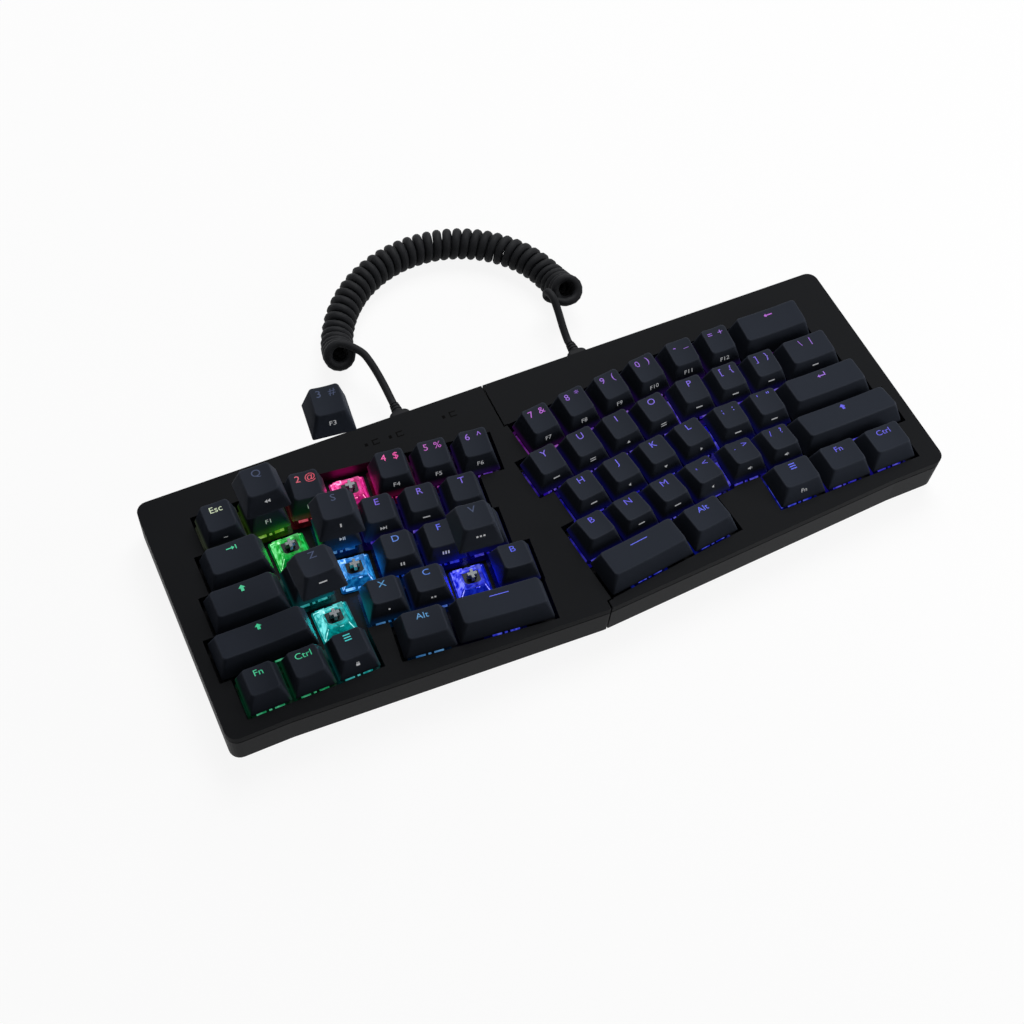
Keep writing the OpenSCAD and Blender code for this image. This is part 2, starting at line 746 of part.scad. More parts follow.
module right_number_keys() { keys_of(right_number_set); }
module right_upper_keys() { keys_of(right_upper_set); }
module right_home_keys() { keys_of(right_home_set); }
module right_lower_keys() { keys_of(right_lower_set); }
module stem_3() { stem(key_3); }
module stem_q() { stem(key_q); }
module stem_s() { stem(key_s); }
module stem_z() { stem(key_z); }
module stem_v() { stem(key_v); }
module lifted_cap_3() { translate(lift_3) cap(key_3); }
module lifted_cap_q() { translate(lift_q) cap(key_q); }
module lifted_cap_s() { translate(lift_s) cap(key_s); }
module lifted_cap_z() { translate(lift_z) cap(key_z); }
module lifted_cap_v() { translate(lift_v) cap(key_v); }

left_top_cover();
left_bottom_case();
left_switch_plate();
left_circuit_board();
left_switch_housings();
left_feet();
left_screws();
left_bridge_socket();
host_socket();
battery();
right_top_cover();
right_bottom_case();
right_switch_plate();
right_circuit_board();
right_switch_housings();
right_feet();
right_screws();
right_bridge_socket();
left_plug();
left_lead();
cable_coil();
right_lead();
right_plug();
esc_key();
tab_key();
caps_lock_key();
left_shift_key();
left_fn_key();
left_ctrl_key();
left_menu_key();
left_alt_key();
left_space_bar();
left_number_keys();
left_upper_keys();
left_home_keys();
left_lower_keys();
backspace_key();
backslash_key();
enter_key();
right_shift_key();
right_menu_key();
right_fn_key();
right_ctrl_key();
right_alt_key();
right_space_bar();
right_number_keys();
right_upper_keys();
right_home_keys();
right_lower_keys();
stem_3();
stem_q();
stem_s();
stem_z();
stem_v();
lifted_cap_3();
lifted_cap_q();
lifted_cap_s();
lifted_cap_z();
lifted_cap_v();
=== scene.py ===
import json
import logging
import math
from dataclasses import dataclass, field
from enum import Enum
from typing import Iterable, Optional, Sequence

import bpy
from mathutils import Matrix, Vector


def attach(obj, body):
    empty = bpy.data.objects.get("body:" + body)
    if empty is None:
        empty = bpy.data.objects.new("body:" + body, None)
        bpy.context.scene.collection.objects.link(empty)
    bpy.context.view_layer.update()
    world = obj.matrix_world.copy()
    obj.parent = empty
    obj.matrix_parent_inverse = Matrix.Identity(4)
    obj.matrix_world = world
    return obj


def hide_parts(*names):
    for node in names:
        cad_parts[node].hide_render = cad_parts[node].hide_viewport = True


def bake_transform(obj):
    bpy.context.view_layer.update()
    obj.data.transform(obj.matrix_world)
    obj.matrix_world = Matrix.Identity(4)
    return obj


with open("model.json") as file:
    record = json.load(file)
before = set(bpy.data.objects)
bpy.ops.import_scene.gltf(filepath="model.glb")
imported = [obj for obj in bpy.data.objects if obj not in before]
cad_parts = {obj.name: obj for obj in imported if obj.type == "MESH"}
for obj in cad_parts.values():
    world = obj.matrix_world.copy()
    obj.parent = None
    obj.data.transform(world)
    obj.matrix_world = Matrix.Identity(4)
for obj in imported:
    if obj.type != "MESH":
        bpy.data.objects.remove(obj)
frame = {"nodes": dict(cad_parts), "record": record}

LOG = logging.getLogger("split_keyboard")
MM = 0.001
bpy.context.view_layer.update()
WHITE = (1.0, 1.0, 1.0, 1.0)

Point = tuple[float, float, float]
Flat = tuple[float, float]
Shape = tuple[list[Flat], list[tuple[int, ...]]]
Colour = tuple[float, ...]
Material = bpy.types.Material
Tree = bpy.types.NodeTree
Socket = bpy.types.NodeSocket
Inputs = dict[str | int, object]


def linear(hex_colour: str) -> Colour:
    """Turns an sRGB hex colour into the linear values that shaders take.

    Args:
        hex_colour: Colour such as "#1e1f21".

    Returns:
        Linear red, green, blue and an alpha of 1.
    """
    parts = [int(hex_colour[i:i + 2], 16) / 255 for i in (1, 3, 5)]
    return (*(p / 12.92 if p <= 0.04045 else ((p + 0.055) / 1.055) ** 2.4 for p in parts), 1.0)


def set_inputs(tree: Tree, node: bpy.types.Node, inputs: Inputs) -> None:
    """Sets or links a node's inputs.

    Args:
        tree: Tree of the node.
        node: Node whose inputs are set.
        inputs: Input name or number to a value, or to the socket that feeds it.
    """
    for name, value in inputs.items():
        if isinstance(value, Socket):
            tree.links.new(value, node.inputs[name])
        else:
            node.inputs[name].default_value = value


def add_node(tree: Tree, kind: str, inputs: Optional[Inputs] = None, **settings: object) -> bpy.types.Node:
    """Adds a shader node with its settings, and sets or links its inputs.

    Args:
        tree: Tree that the node goes into.
        kind: Blender's name of the node type.
        inputs: Input name or number to a value, or to the socket that feeds it.
        **settings: Properties of the node.

    Returns:
        The new node.
    """
    node = tree.nodes.new(kind)
    for name, value in settings.items():
        setattr(node, name, value)
    set_inputs(tree, node, inputs or {})
    return node


def noise(tree: Tree, place: Socket, size_mm: float, detail: float, distortion: float = 0.0) -> Socket:
    """Soft noise, about 0 to 1, whose marks have a size in millimetres of the object."""
    return add_node(tree, "ShaderNodeTexNoise", {"Vector": place, "Scale": 1.0 / (size_mm * MM), "Detail": detail,
                                                 "Distortion": distortion}).outputs["Fac"]


def remap(tree: Tree, value: Socket, to: Flat, start: Flat = (0.0, 1.0), **settings: object) -> Socket:
    """Moves a value from one range to another, and holds it there."""
    return add_node(tree, "ShaderNodeMapRange", {"Value": value, "From Min": start[0], "From Max": start[1],
                                                 "To Min": to[0], "To Max": to[1]}, **settings).outputs["Result"]


def mix(tree: Tree, share: Socket, first: Colour, second: Colour) -> Socket:
    """Blend of two colours."""
    return add_node(tree, "ShaderNodeMix", {"Factor": share, 6: first, 7: second}, data_type="RGBA").outputs[2]


def vary(tree: Tree, value: Socket, middle: float, swing: float) -> Socket:
    """Lets a value of 0 to 1 swing to both sides of a middle."""
    return remap(tree, value, (middle - swing, middle + swing))


def height_of(tree: Tree, place: Socket) -> Socket:
    """Height above the floor, in metres."""
    return add_node(tree, "ShaderNodeSeparateXYZ", {"Vector": place}).outputs["Z"]


def add_object(name: str, data: bpy.types.ID) -> bpy.types.Object:
    """Makes an object of a mesh, a light or a camera and puts it into the scene."""
    made = bpy.data.objects.new(name, data)
    bpy.context.scene.collection.objects.link(made)
    return made


def add_lamp(name: str, place: Matrix, size: Flat, power: float, colour: Colour = WHITE) -> None:
    """Adds a soft rectangular lamp that the camera doesn't see.

    Args:
        name: Name of the lamp.
        place: Where it is and where it looks, in metres.
        size: Its sides in metres.
        power: Its power in watts.
        colour: Its colour.
    """
    data = bpy.data.lights.new(name, "AREA")
    data.shape = "RECTANGLE"
    data.size, data.size_y = size
    data.energy = power
    data.color = colour[:3]
    lamp = add_object(name, data)
    lamp.matrix_world = place
    lamp.visible_camera = False


class Led(Enum):
    """Colours of the lights under the keys."""

    WARM = "#c9d8b4"
    CHARTREUSE = "#9fd64c"
    LIME = "#0ccc58"
    GREEN = "#0ac48a"
    TEAL = "#08c8c8"
    CYAN = "#2a90d0"
    SKY = "#2aa2f0"
    AZURE = "#2272e0"
    BLUE = "#2440f4"
    INDIGO = "#3c30ea"
    VIOLET = "#6038e0"
    PURPLE = "#8a42d8"
    ORCHID = "#b03ed2"
    MAGENTA = "#c040c4"
    PINK = "#ff38ac"
    RED = "#e24460"

    @property
    def label(self) -> str:
        """Name for use in the names of materials."""
        return self.name.lower()

    @property
    def deep(self) -> Colour:
        """Fuller shade of the colour: its weaker parts sink."""
        return tuple(c ** 1.5 for c in linear(self.value))

    @property
    def legend_strength(self) -> float:
        """Strength of the painted glow of a legend, which stands in for the light through it, most at the green left
        end.
        """
        return 0.62 if self in (Led.WARM, Led.LIME, Led.GREEN, Led.TEAL) else 0.48


@dataclass(frozen=True)
class Finish:
    """Material whose shader gets its inputs from dress(), which each kind of finish has of its own."""

    name: str

    def make(self) -> Material:
        """Builds the material."""
        material = bpy.data.materials.new(self.name)
        material.use_nodes = True
        tree = material.node_tree
        place = add_node(tree, "ShaderNodeTexCoord").outputs["Object"]
        set_inputs(tree, tree.nodes["Principled BSDF"], self.dress(tree, place))
        return material

    def dress(self, tree: Tree, place: Socket) -> Inputs:
        """Values or sockets for the shader's inputs.

        Args:
            tree: Tree of the material.
            place: Place on the object.

        Returns:
            Input name to its value or to the socket that feeds it.
        """
        raise NotImplementedError


@dataclass(frozen=True)
class MouldedPlastic(Finish):
    """Injection-moulded ABS or PBT with a spark-eroded grain: a soft sheen broken by fine dimples."""

    colour: str
    shade: str
    roughness: float
    specular: float
    grain_mm: float
    grain_depth_mm: float
    # Painted glow of the LEDs below on the foot of a cap's sides: its colour, where it starts, how high it fades out,
    # and its strength.
    painted_spill: Optional[Led] = None
    spill_foot_mm: float = 20.2
    spill_height_mm: float = 3.5
    spill_strength: float = 0.045
    drift_mm: float = 30.0
    roughness_swing: float = 0.07

    def dress(self, tree: Tree, place: Socket) -> Inputs:
        """Values or sockets for the shader's inputs."""
        # The flow of the plastic makes the tone drift slowly.
        drift = noise(tree, place, self.drift_mm, 2.0)
        # The real grain is about 0.1 mm, which is too fine to show, so it is drawn coarser.
        grain = noise(tree, place, self.grain_mm, 3.0)
        bump = add_node(tree, "ShaderNodeBump", {"Height": grain, "Strength": 0.6,
                                                 "Distance": self.grain_depth_mm * MM})
        inputs = {"Base Color": mix(tree, drift, linear(self.colour), linear(self.shade)),
                  "Roughness": vary(tree, grain, self.roughness, self.roughness_swing),
                  "Normal": bump.outputs["Normal"], "Specular IOR Level": self.specular}
        if self.painted_spill:
            # Painted light: an emission in the LED's colour at the foot of a cap's sides stands in for the light of
            # the lamps below.
            span = (self.spill_foot_mm * MM, (self.spill_foot_mm + self.spill_height_mm) * MM)
            inputs["Emission Color"] = self.painted_spill.deep
            inputs["Emission Strength"] = remap(tree, height_of(tree, place), (self.spill_strength, 0.0), span,
                                                interpolation_type="SMOOTHSTEP")
        return inputs


@dataclass(frozen=True)
class PaintedGlowPolycarbonate(Finish):
    """Clear moulded polycarbonate with painted light: an emission glow stands in for the LED inside, with painted
    highlights in whiter patches and deeper colour between.
    """

    led: Led
    strength: float
    painted_highlight_white: float
    low: float
    mark_mm: float
    body_share: float = 0.04

    def dress(self, tree: Tree, place: Socket) -> Inputs:
        """Values or sockets for the shader's inputs."""
        bright = tuple(c + (1 - c) * self.painted_highlight_white for c in linear(self.led.value))
        # Noise paints the glow into streaks and patches: painted highlights where it is strong, deeper colour where it
        # is weak.
        marks = remap(tree, noise(tree, place, self.mark_mm, 2.0, 0.8), (0.0, 1.0), (0.35, 0.65))
        return {"Emission Color": mix(tree, marks, self.led.deep, bright),
                "Emission Strength": remap(tree, marks, (self.strength * self.low, self.strength)),
                "Base Color": (*(self.body_share * c for c in self.led.deep[:3]), 1.0),
                "Roughness": 0.35, "Specular IOR Level": 0.06}


@dataclass(frozen=True)
class AcetalWithPaintedLight(Finish):
    """Moulded acetal of a bare stem with painted light: the cross painted pale as if it caught the light, over a
    slider painted dark as shade deep in the cover.
    """

    cross: str
    slider: str
    cross_from_mm: float
    mark_mm: float = 1.5

    def dress(self, tree: Tree, place: Socket) -> Inputs:
        """Values or sockets for the shader's inputs."""
        # The pale painted cross starts where the dark painted slider ends.
        span = ((self.cross_from_mm + 0.2) * MM, (self.cross_from_mm + 0.6) * MM)
        share = remap(tree, height_of(tree, place), (0.0, 1.0), span)
        # Flow marks vary the gloss.
        gloss = remap(tree, noise(tree, place, self.mark_mm, 2.0), (0.25, 0.45))
        return {"Base Color": mix(tree, share, linear(self.slider), linear(self.cross)), "Roughness": gloss,
                "Specular IOR Level": 0.08}


@dataclass(frozen=True)
class PaintedGlowLegend(Finish):
    """Second shot of translucent plastic in a cap's legend, or white ink, with a painted glow: an even emission stands
    in for the light from below the legend and for the light on the white ink.
    """

    colour: str
    strength: float
    cloud_mm: float = 4.0

    def dress(self, tree: Tree, place: Socket) -> Inputs:
        """Values or sockets for the shader's inputs."""
        colour = linear(self.colour)
        # The painted glow is uneven over a few millimetres.
        cloud = noise(tree, place, self.cloud_mm, 1.0)
        return {"Base Color": (*(0.3 * c for c in colour[:3]), 1.0), "Emission Color": colour,
                "Emission Strength": remap(tree, cloud, (self.strength * 0.75, self.strength * 1.2)),
                "Roughness": 0.5}


@dataclass(frozen=True)
class PlatedSteel(Finish):
    """Rolled and nickel-plated steel: fine rolling lines that spread the gloss."""

    colour: str
    roughness: float
    line_mm: float
    roughness_swing: float = 0.08

    def dress(self, tree: Tree, place: Socket) -> Inputs:
        """Values or sockets for the shader's inputs."""
        long_lines = add_node(tree, "ShaderNodeMapping", {"Vector": place, "Scale": (0.05, 1.0, 1.0)})
        lines = noise(tree, long_lines.outputs["Vector"], self.line_mm, 2.0)
        return {"Base Color": linear(self.colour), "Metallic": 1.0,
                "Roughness": vary(tree, lines, self.roughness, self.roughness_swing)}


class Materials:
    """Makes each finish once and hands it out by name."""

    def __init__(self) -> None:
        """Builds the finishes that are used all over the keyboard."""
        plastic = MouldedPlastic
        # Plastics: colour, shade, roughness, specular level, grain size and grain depth in millimetres.
        # The case is a dull black without sheen; the walls of the tray catch a little of the floor.
        black = ("#17181a", "#1a1b1d")
        self.case = plastic("abs_case_spark_eroded", *black, 0.55, 0.02, 0.45, 0.02).make()
        self.tray = plastic("abs_tray_spark_eroded", *black, 0.5, 0.045, 0.45, 0.02).make()
        # The caps are a matt blue-grey; the edges of their tops are a little paler and glossier, partly wear from
        # hands polishing them and partly a painted highlight.
        cap = ("#292d35", "#2c3039", 0.55, 0.012, 0.4, 0.018)
        self.cap = plastic("pbt_cap_sandblasted", *cap).make()
        # Single caps get a painted glow in their LED's colour at the foot of their sides.
        self.cap_painted_side_glow = {led: plastic(f"pbt_cap_side_{led.label}", *cap, led).make() for led in Led}
        self.cap_edge = plastic("pbt_cap_edge_worn_smooth", "#2a2e36", "#2d313a", 0.48, 0.03, 0.4, 0.008).make()
        self.cap_legend = plastic("pbt_legend_unlit", "#4a5470", "#515b78", 0.5, 0.05, 0.8, 0.005).make()
        # Stems are a waxy grey, the plate a satin black, the board a glossy dark green.
        self.stem = plastic("pom_stem_moulded", "#6f7378", "#7b8085", 0.35, 0.5, 1.2, 0.01).make()
        self.plate = plastic("steel_plate_powder_coated", "#0b0c0e", "#0f1013", 0.5, 0.06, 0.6, 0.02).make()
        self.board = plastic("glass_epoxy_board_solder_mask", "#0b1a14", "#0f2019", 0.35, 0.5, 2.0, 0.01).make()
        # The cord and the feet are dull and soft, the battery's pouch crinkled and silvery.
        self.cord = plastic("tpe_cord_extruded", "#17181a", "#1b1c1f", 0.6, 0.1, 0.6, 0.02).make()
        self.rubber = plastic("silicone_foot_moulded", "#121212", "#181818", 0.75, 0.2, 0.8, 0.02).make()
        self.pouch = plastic("aluminium_laminate_pouch_pressed", "#a9adb2", "#b4b8bc", 0.4, 0.5, 3.0, 0.05).make()
        # Sunk marks get painted shade: a plain near-black stands in for the shade inside them.
        self.sunk_mark_painted_shade = plastic("abs_engraved_mark", "#040404", "#060606", 0.5, 0.01, 0.5, 0.01).make()
        # Open stems: a painted highlight on the cross and painted shade on the slider below it.
        slider_top = FIELD.plate_top + SwitchStem.slider_span[1]
        self.open_stem = AcetalWithPaintedLight("pom_stem_open_moulded", "#9aa0a4", "#222629", slider_top).make()
        # Printed marks on the cap fronts: white ink with a painted glow, as if lit.
        self.print = PaintedGlowLegend("pad_printed_white_ink", "#d4d6da", 0.42).make()
        self.steel = PlatedSteel("steel_nickel_plated_rolled", "#b9bcc0", 0.28, 0.5).make()
        self.legend = {led: PaintedGlowLegend(f"pbt_legend_lit_{led.label}", led.value, led.legend_strength).make()
                       for led in Led}
        # Painted light of the clear switches: each part glows by emission in its LED's colour; under the caps the
        # housings glow dimly, as if shaded.
        self.housing = self.clear("housing_dim_painted_glow", 0.02, 0.0, 0.3, 3.0)
        # A thin sheet on the plate round each capped switch carries a painted glow, stronger on the right half.
        self.painted_glow_sheet = self.clear("plate_painted_glow", 0.03, 0.0, 0.2, 5.0)
        self.painted_glow_sheet_bright = self.clear("plate_painted_glow_bright", 0.14, 0.0, 0.35, 5.0)
        # Glowing bars paint the light on the edges and the left sides of the covers.
        self.bars = self.clear("edge_painted_glow", 0.6, 0.12, 0.6, 3.0)
        self.side = self.clear("side_painted_glow", 0.3, 0.04, 0.5, 4.0)
        # Open switches: the cover glows; facets toward the lamp get painted light, the foot and front facets painted
        # shade.
        self.cover = self.clear("open_cover_painted_glow", 0.95, 0.02, 0.35, 3.0)
        self.bright = self.clear("cover_open_near_lamp", 1.4, 0.16, 0.5, 3.0)
        self.deep = self.clear("cover_foot_open", 0.42, 0.0, 0.4, 2.5)
        # Painted highlights on the edges of open covers.
        self.painted_rim = self.clear("cover_edge_open", 1.7, 0.35, 0.6, 2.5)

    @staticmethod
    def clear(part: str, strength: float, painted_highlight_white: float, low: float, mark_mm: float) -> dict[Led, Material]:
        """Painted glow of one part of the switches in every colour, an emission that stands in for the LED light.

        Args:
            part: What the finish is on.
            strength: Strength of the painted glow that seems to leave it.
            painted_highlight_white: How far its painted highlights go to white.
            low: Share of the strength that is left between the patches.
            mark_mm: Size of the patches.

        Returns:
            Finish by colour.
        """
        return {led: PaintedGlowPolycarbonate(f"polycarbonate_{part}_{led.label}", led, strength, painted_highlight_white, low,
                                        mark_mm).make() for led in Led}


@dataclass
class MeshParts:
    """Collects points, faces and materials of one piece, in millimetres."""

    points: list[Point] = field(default_factory=list)
    faces: list[tuple[int, ...]] = field(default_factory=list)
    slots: list[int] = field(default_factory=list)
    materials: list[Material] = field(default_factory=list)

    def slot_of(self, material: Material) -> int:
        """Number of a material's slot, which is added if it is new."""
        if material not in self.materials:
            self.materials.append(material)
        return self.materials.index(material)

    def add(self, points: Iterable[Sequence[float]], faces: Iterable[Sequence[int]], material: Material) -> None:
        """Adds points and the faces among them.

        Args:
            points: Places in millimetres.
            faces: Lists of numbers of these points.
            material: Material of the faces.
        """
        start = len(self.points)
        slot = self.slot_of(material)
        self.points.extend(tuple(p) for p in points)
        for face in faces:
            self.faces.append(tuple(start + i for i in face))
            self.slots.append(slot)

    def add_box(self, low: Point, high: Point, place: Matrix, material: Material) -> None:
        """Adds a block between two corners, moved by a matrix."""
        corners = [(x, y, z) for z in (low[2], high[2]) for y in (low[1], high[1]) for x in (low[0], high[0])]
        faces = [(0, 2, 3, 1), (4, 5, 7, 6), (0, 1, 5, 4), (2, 6, 7, 3), (0, 4, 6, 2), (1, 3, 7, 5)]
        self.add([place @ Vector(c) for c in corners], faces, material)

    def add_strut(self, start: Vector, end: Vector, half: float, place: Matrix, material: Material) -> None:
        """Adds a thin square rib between two places, moved by a matrix."""
        way = (end - start).normalized()
        across = Vector((0.0, 0.0, 1.0)) if abs(way.z) < 0.9 else Vector((1.0, 0.0, 0.0))
        side = way.cross(across).normalized()
        rise = side.cross(way)
        corners = [side * half + rise * half, rise * half - side * half, side * -half - rise * half,
                   side * half - rise * half]
        self.add_rings([[place @ (tip + c) for c in corners] for tip in (start, end)], material)

    def add_rings(self, rings: Sequence[Sequence[Sequence[float]]], material: Material, close_first: bool = True,
                  close_last: bool = True, band: range = range(0), band_material: Optional[Material] = None) -> int:
        """Adds a skin over rings with the same number of points.

        Args:
            rings: Rings of points, in order.
            material: Material of the skin.
            close_first: Whether the first ring gets a cap.
            close_last: Whether the last ring gets a cap.
            band: Numbers of the rings after which the skin has another material.
            band_material: That other material.

        Returns:
            Number of the skin's first face.
        """
        n = len(rings[0])
        points = [p for ring in rings for p in ring]
        faces: list[tuple[int, ...]] = []
        for r in range(len(rings) - 1):
            for i in range(n):
                j = (i + 1) % n
                faces.append((r * n + i, r * n + j, (r + 1) * n + j, (r + 1) * n + i))
        if close_first:
            faces.append(tuple(reversed(range(n))))
        if close_last:
            faces.append(tuple(range((len(rings) - 1) * n, len(rings) * n)))
        first_face = len(self.slots)
        self.add(points, faces, material)
        for r in band:
            self.slots[first_face + r * n:first_face + (r + 1) * n] = [self.slot_of(band_material)] * n
        return first_face

    def build(self, name: str, sharp_degrees: float = 38.0) -> bpy.types.Object:
        """Makes the piece as a mesh object in metres.

        Args:
            name: Name of the piece.
            sharp_degrees: Edges that turn by more than this stay sharp.

        Returns:
            The new object.
        """
        mesh = bpy.data.meshes.new(name)
        mesh.from_pydata([(x * MM, y * MM, z * MM) for x, y, z in self.points], [], self.faces)
        for material in self.materials:
            mesh.materials.append(material)
        mesh.polygons.foreach_set("material_index", self.slots)
        mesh.polygons.foreach_set("use_smooth", [True] * len(mesh.polygons))
        mesh.set_sharp_from_angle(angle=math.radians(sharp_degrees))
        mesh.update()
        LOG.info("piece %s", name)
        return add_object(name, mesh)


class Block(Enum):
    """The four blocks of keys."""

    LEFT_OUTER = 0
    LEFT_INNER = 1
    RIGHT_INNER = 2
    RIGHT_OUTER = 3


@dataclass(frozen=True)
class Field:
    """Plan of the key field and heights of the case, as in the CAD model, in millimetres."""

    pitch: float = 19.05
    turn: float = 6.3
    units: float = 17.2
    shift_y: float = 37.3
    plate_top: float = 14.0
    bezel_top: float = 21.2
    starts: tuple[tuple[float, ...], ...] = (
        (0.75, 0.5, 0.25, 0.0, 0.25),
        (-0.94, -0.54, -0.4, 0.0, 0.48),
        (-3.85, -4.25, -3.875, -4.24, -4.24),
        (-4.75, -5.0, -4.5, -4.75, -4.0),
    )
    pivots: tuple[Flat, ...] = ((0.0, -2.0), (3.51, -2.03), (units - 4.71, -2.03), (units, -2.0))

    def place(self, block: Block, row: int, start: float, width: float) -> Matrix:
        """Matrix from a key's own frame, with its middle on the plate, to the keyboard's.

        Args:
            block: Block of the key.
            row: Row from the back.
            start: Place of the key's left side from the row's start, in pitches.
            width: Width of the key, in pitches.

        Returns:
            The matrix, in millimetres.
        """
        along = (self.starts[block.value][row] + start + width / 2) * self.pitch
        turn = math.radians((0.0, -self.turn, self.turn, 0.0)[block.value])
        pivot_x, pivot_y = self.pivots[block.value]
        origin = Vector(((pivot_x - self.units / 2) * self.pitch, self.shift_y + pivot_y * self.pitch,
                         self.plate_top))
        move = Matrix.Translation((along, (2 - row) * self.pitch, 0.0))
        return Matrix.Translation(origin) @ Matrix.Rotation(turn, 4, "Z") @ move


FIELD = Field()


@dataclass(frozen=True)
class Key:
    """One key: where it is, what it says and the colour of the light below it."""

    node: str
    block: Block
    row: int
    start: float
    width: float
    top: str
    front: str
    led: Led
    lift: Point = (0.0, 0.0, 0.0)

    def matrix(self) -> Matrix:
        """Place of the key's switch."""
        return FIELD.place(self.block, self.row, self.start, self.width)

    @property
    def is_lifted(self) -> bool:
        """Whether the cap is off its switch."""
        return self.lift[2] > 0

    @property
    def on_right(self) -> bool:
        """Whether the key is on the right half."""
        return self.block in (Block.RIGHT_INNER, Block.RIGHT_OUTER)


def make_keys() -> list[Key]:
    """Lists all keys of the keyboard, row by row."""
    lo, li, ri, ro = Block
    lift = 60.0
    keys = [
        Key("esc_key", lo, 0, 0, 1, "Esc", "~", Led.WARM),
        Key("left_number_keys", lo, 0, 1, 1, "1 !", "F1", Led.CHARTREUSE),
        Key("left_number_keys", li, 0, 0, 1, "2 @", "F2", Led.RED),
        Key("lifted_cap_3", li, 0, 1, 1, "3 #", "F3", Led.PINK, (-7.4, -0.7, lift)),
        Key("left_number_keys", li, 0, 2, 1, "4 $", "F4", Led.PINK),
        Key("left_number_keys", li, 0, 3, 1, "5 %", "F5", Led.MAGENTA),
        Key("left_number_keys", li, 0, 4, 1, "6 ^", "F6", Led.PURPLE),
        Key("tab_key", lo, 1, 0, 1.5, "#tab", "", Led.GREEN),
        Key("lifted_cap_q", lo, 1, 1.5, 1, "Q", "#back", Led.LIME, (-10.5, -6.9, lift)),
        Key("left_upper_keys", li, 1, 0, 1, "W", "#play", Led.CYAN),
        Key("left_upper_keys", li, 1, 1, 1, "E", "#next", Led.VIOLET),
        Key("left_upper_keys", li, 1, 2, 1, "R", "#bar", Led.VIOLET),
        Key("left_upper_keys", li, 1, 3, 1, "T", "", Led.VIOLET),
        Key("caps_lock_key", lo, 2, 0, 1.75, "#up", "", Led.GREEN),
        Key("left_home_keys", lo, 2, 1.75, 1, "A", "", Led.TEAL),
        Key("lifted_cap_s", li, 2, 0, 1, "S", "#bars1", Led.SKY, (-9.0, -8.1, lift)),
        Key("left_home_keys", li, 2, 1, 1, "D", "#bars2", Led.AZURE),
        Key("left_home_keys", li, 2, 2, 1, "F", "#bars3", Led.BLUE),
        Key("left_home_keys", li, 2, 3, 1, "G", "", Led.INDIGO),
        Key("left_shift_key", lo, 3, 0, 2.25, "#up", "", Led.GREEN),
        Key("lifted_cap_z", lo, 3, 2.25, 1, "Z", "#bar", Led.TEAL, (-8.5, -10.0, lift)),
        Key("left_lower_keys", li, 3, 0, 1, "X", "#dots1", Led.CYAN),
        Key("left_lower_keys", li, 3, 1, 1, "C", "#dots2", Led.AZURE),
        Key("lifted_cap_v", li, 3, 2, 1, "V", "#dots3", Led.BLUE, (-5.7, -9.6, lift)),
        Key("left_lower_keys", li, 3, 3, 1, "B", "", Led.BLUE),
        Key("left_fn_key", lo, 4, 0, 1, "Fn", "", Led.GREEN),
        Key("left_ctrl_key", lo, 4, 1, 1, "Ctrl", "", Led.GREEN),
        Key("left_menu_key", lo, 4, 2, 1, "#lines", "#lock", Led.TEAL),
        Key("left_alt_key", li, 4, 0, 1.25, "Alt", "", Led.CYAN),
        Key("left_space_bar", li, 4, 1.25, 2.25, "#dash", "", Led.BLUE),
        Key("backspace_key", ro, 0, 2, 2, "#left", "", Led.ORCHID),
        Key("backslash_key", ro, 1, 3, 1.5, "\\ |", "#bar", Led.PURPLE),
        Key("enter_key", ro, 2, 2, 2.25, "#enter", "", Led.PURPLE),
        Key("right_shift_key", ro, 3, 2, 2.75, "#up", "", Led.INDIGO),
        Key("right_menu_key", ro, 4, 0, 1.25, "#lines", "Fn", Led.BLUE),
        Key("right_fn_key", ro, 4, 1.25, 1.25, "Fn", "", Led.INDIGO),
        Key("right_ctrl_key", ro, 4, 2.5, 1.25, "Ctrl", "", Led.INDIGO),
        Key("right_space_bar", ri, 4, 0, 2.25, "#dash", "", Led.BLUE),
        Key("right_alt_key", ri, 4, 2.25, 1.25, "Alt", "", Led.BLUE),
    ]
    rows = (
        ("right_number_keys", Led.PURPLE, (("7 &", "F7"), ("8 *", "F8"), ("9 (", "F9"), ("0 )", "F10"),
                                           ("- _", "F11"), ("= +", "F12"))),
        ("right_upper_keys", Led.VIOLET, (("Y", "#bar"), ("U", "#pages"), ("I", "#upmark"), ("O", "#pages"),
                                          ("P", "#bar"), ("[ {", "#bar"), ("] }", "#bar"))),
        ("right_home_keys", Led.INDIGO, (("H", "#bar"), ("J", "#back1"), ("K", "#downmark"), ("L", "#next1"),
                                         ("; :", "#bar"), ("' \"", "#bar"))),
        ("right_lower_keys", Led.INDIGO, (("B", ""), ("N", "#bar"), ("M", "#bar"), (", <", "#back1"),
                                          (". >", "#sound"), ("/ ?", "#sound"))),
    )
    inner_keys = 4
    for row, (name, led, marks) in enumerate(rows):
        for i, (top, front) in enumerate(marks):
            block, start = (ri, i) if i < inner_keys else (ro, i - inner_keys)
            keys.append(Key(name, block, row, start, 1, top, front, Led.ORCHID if top == "7 &" else led))
    return keys


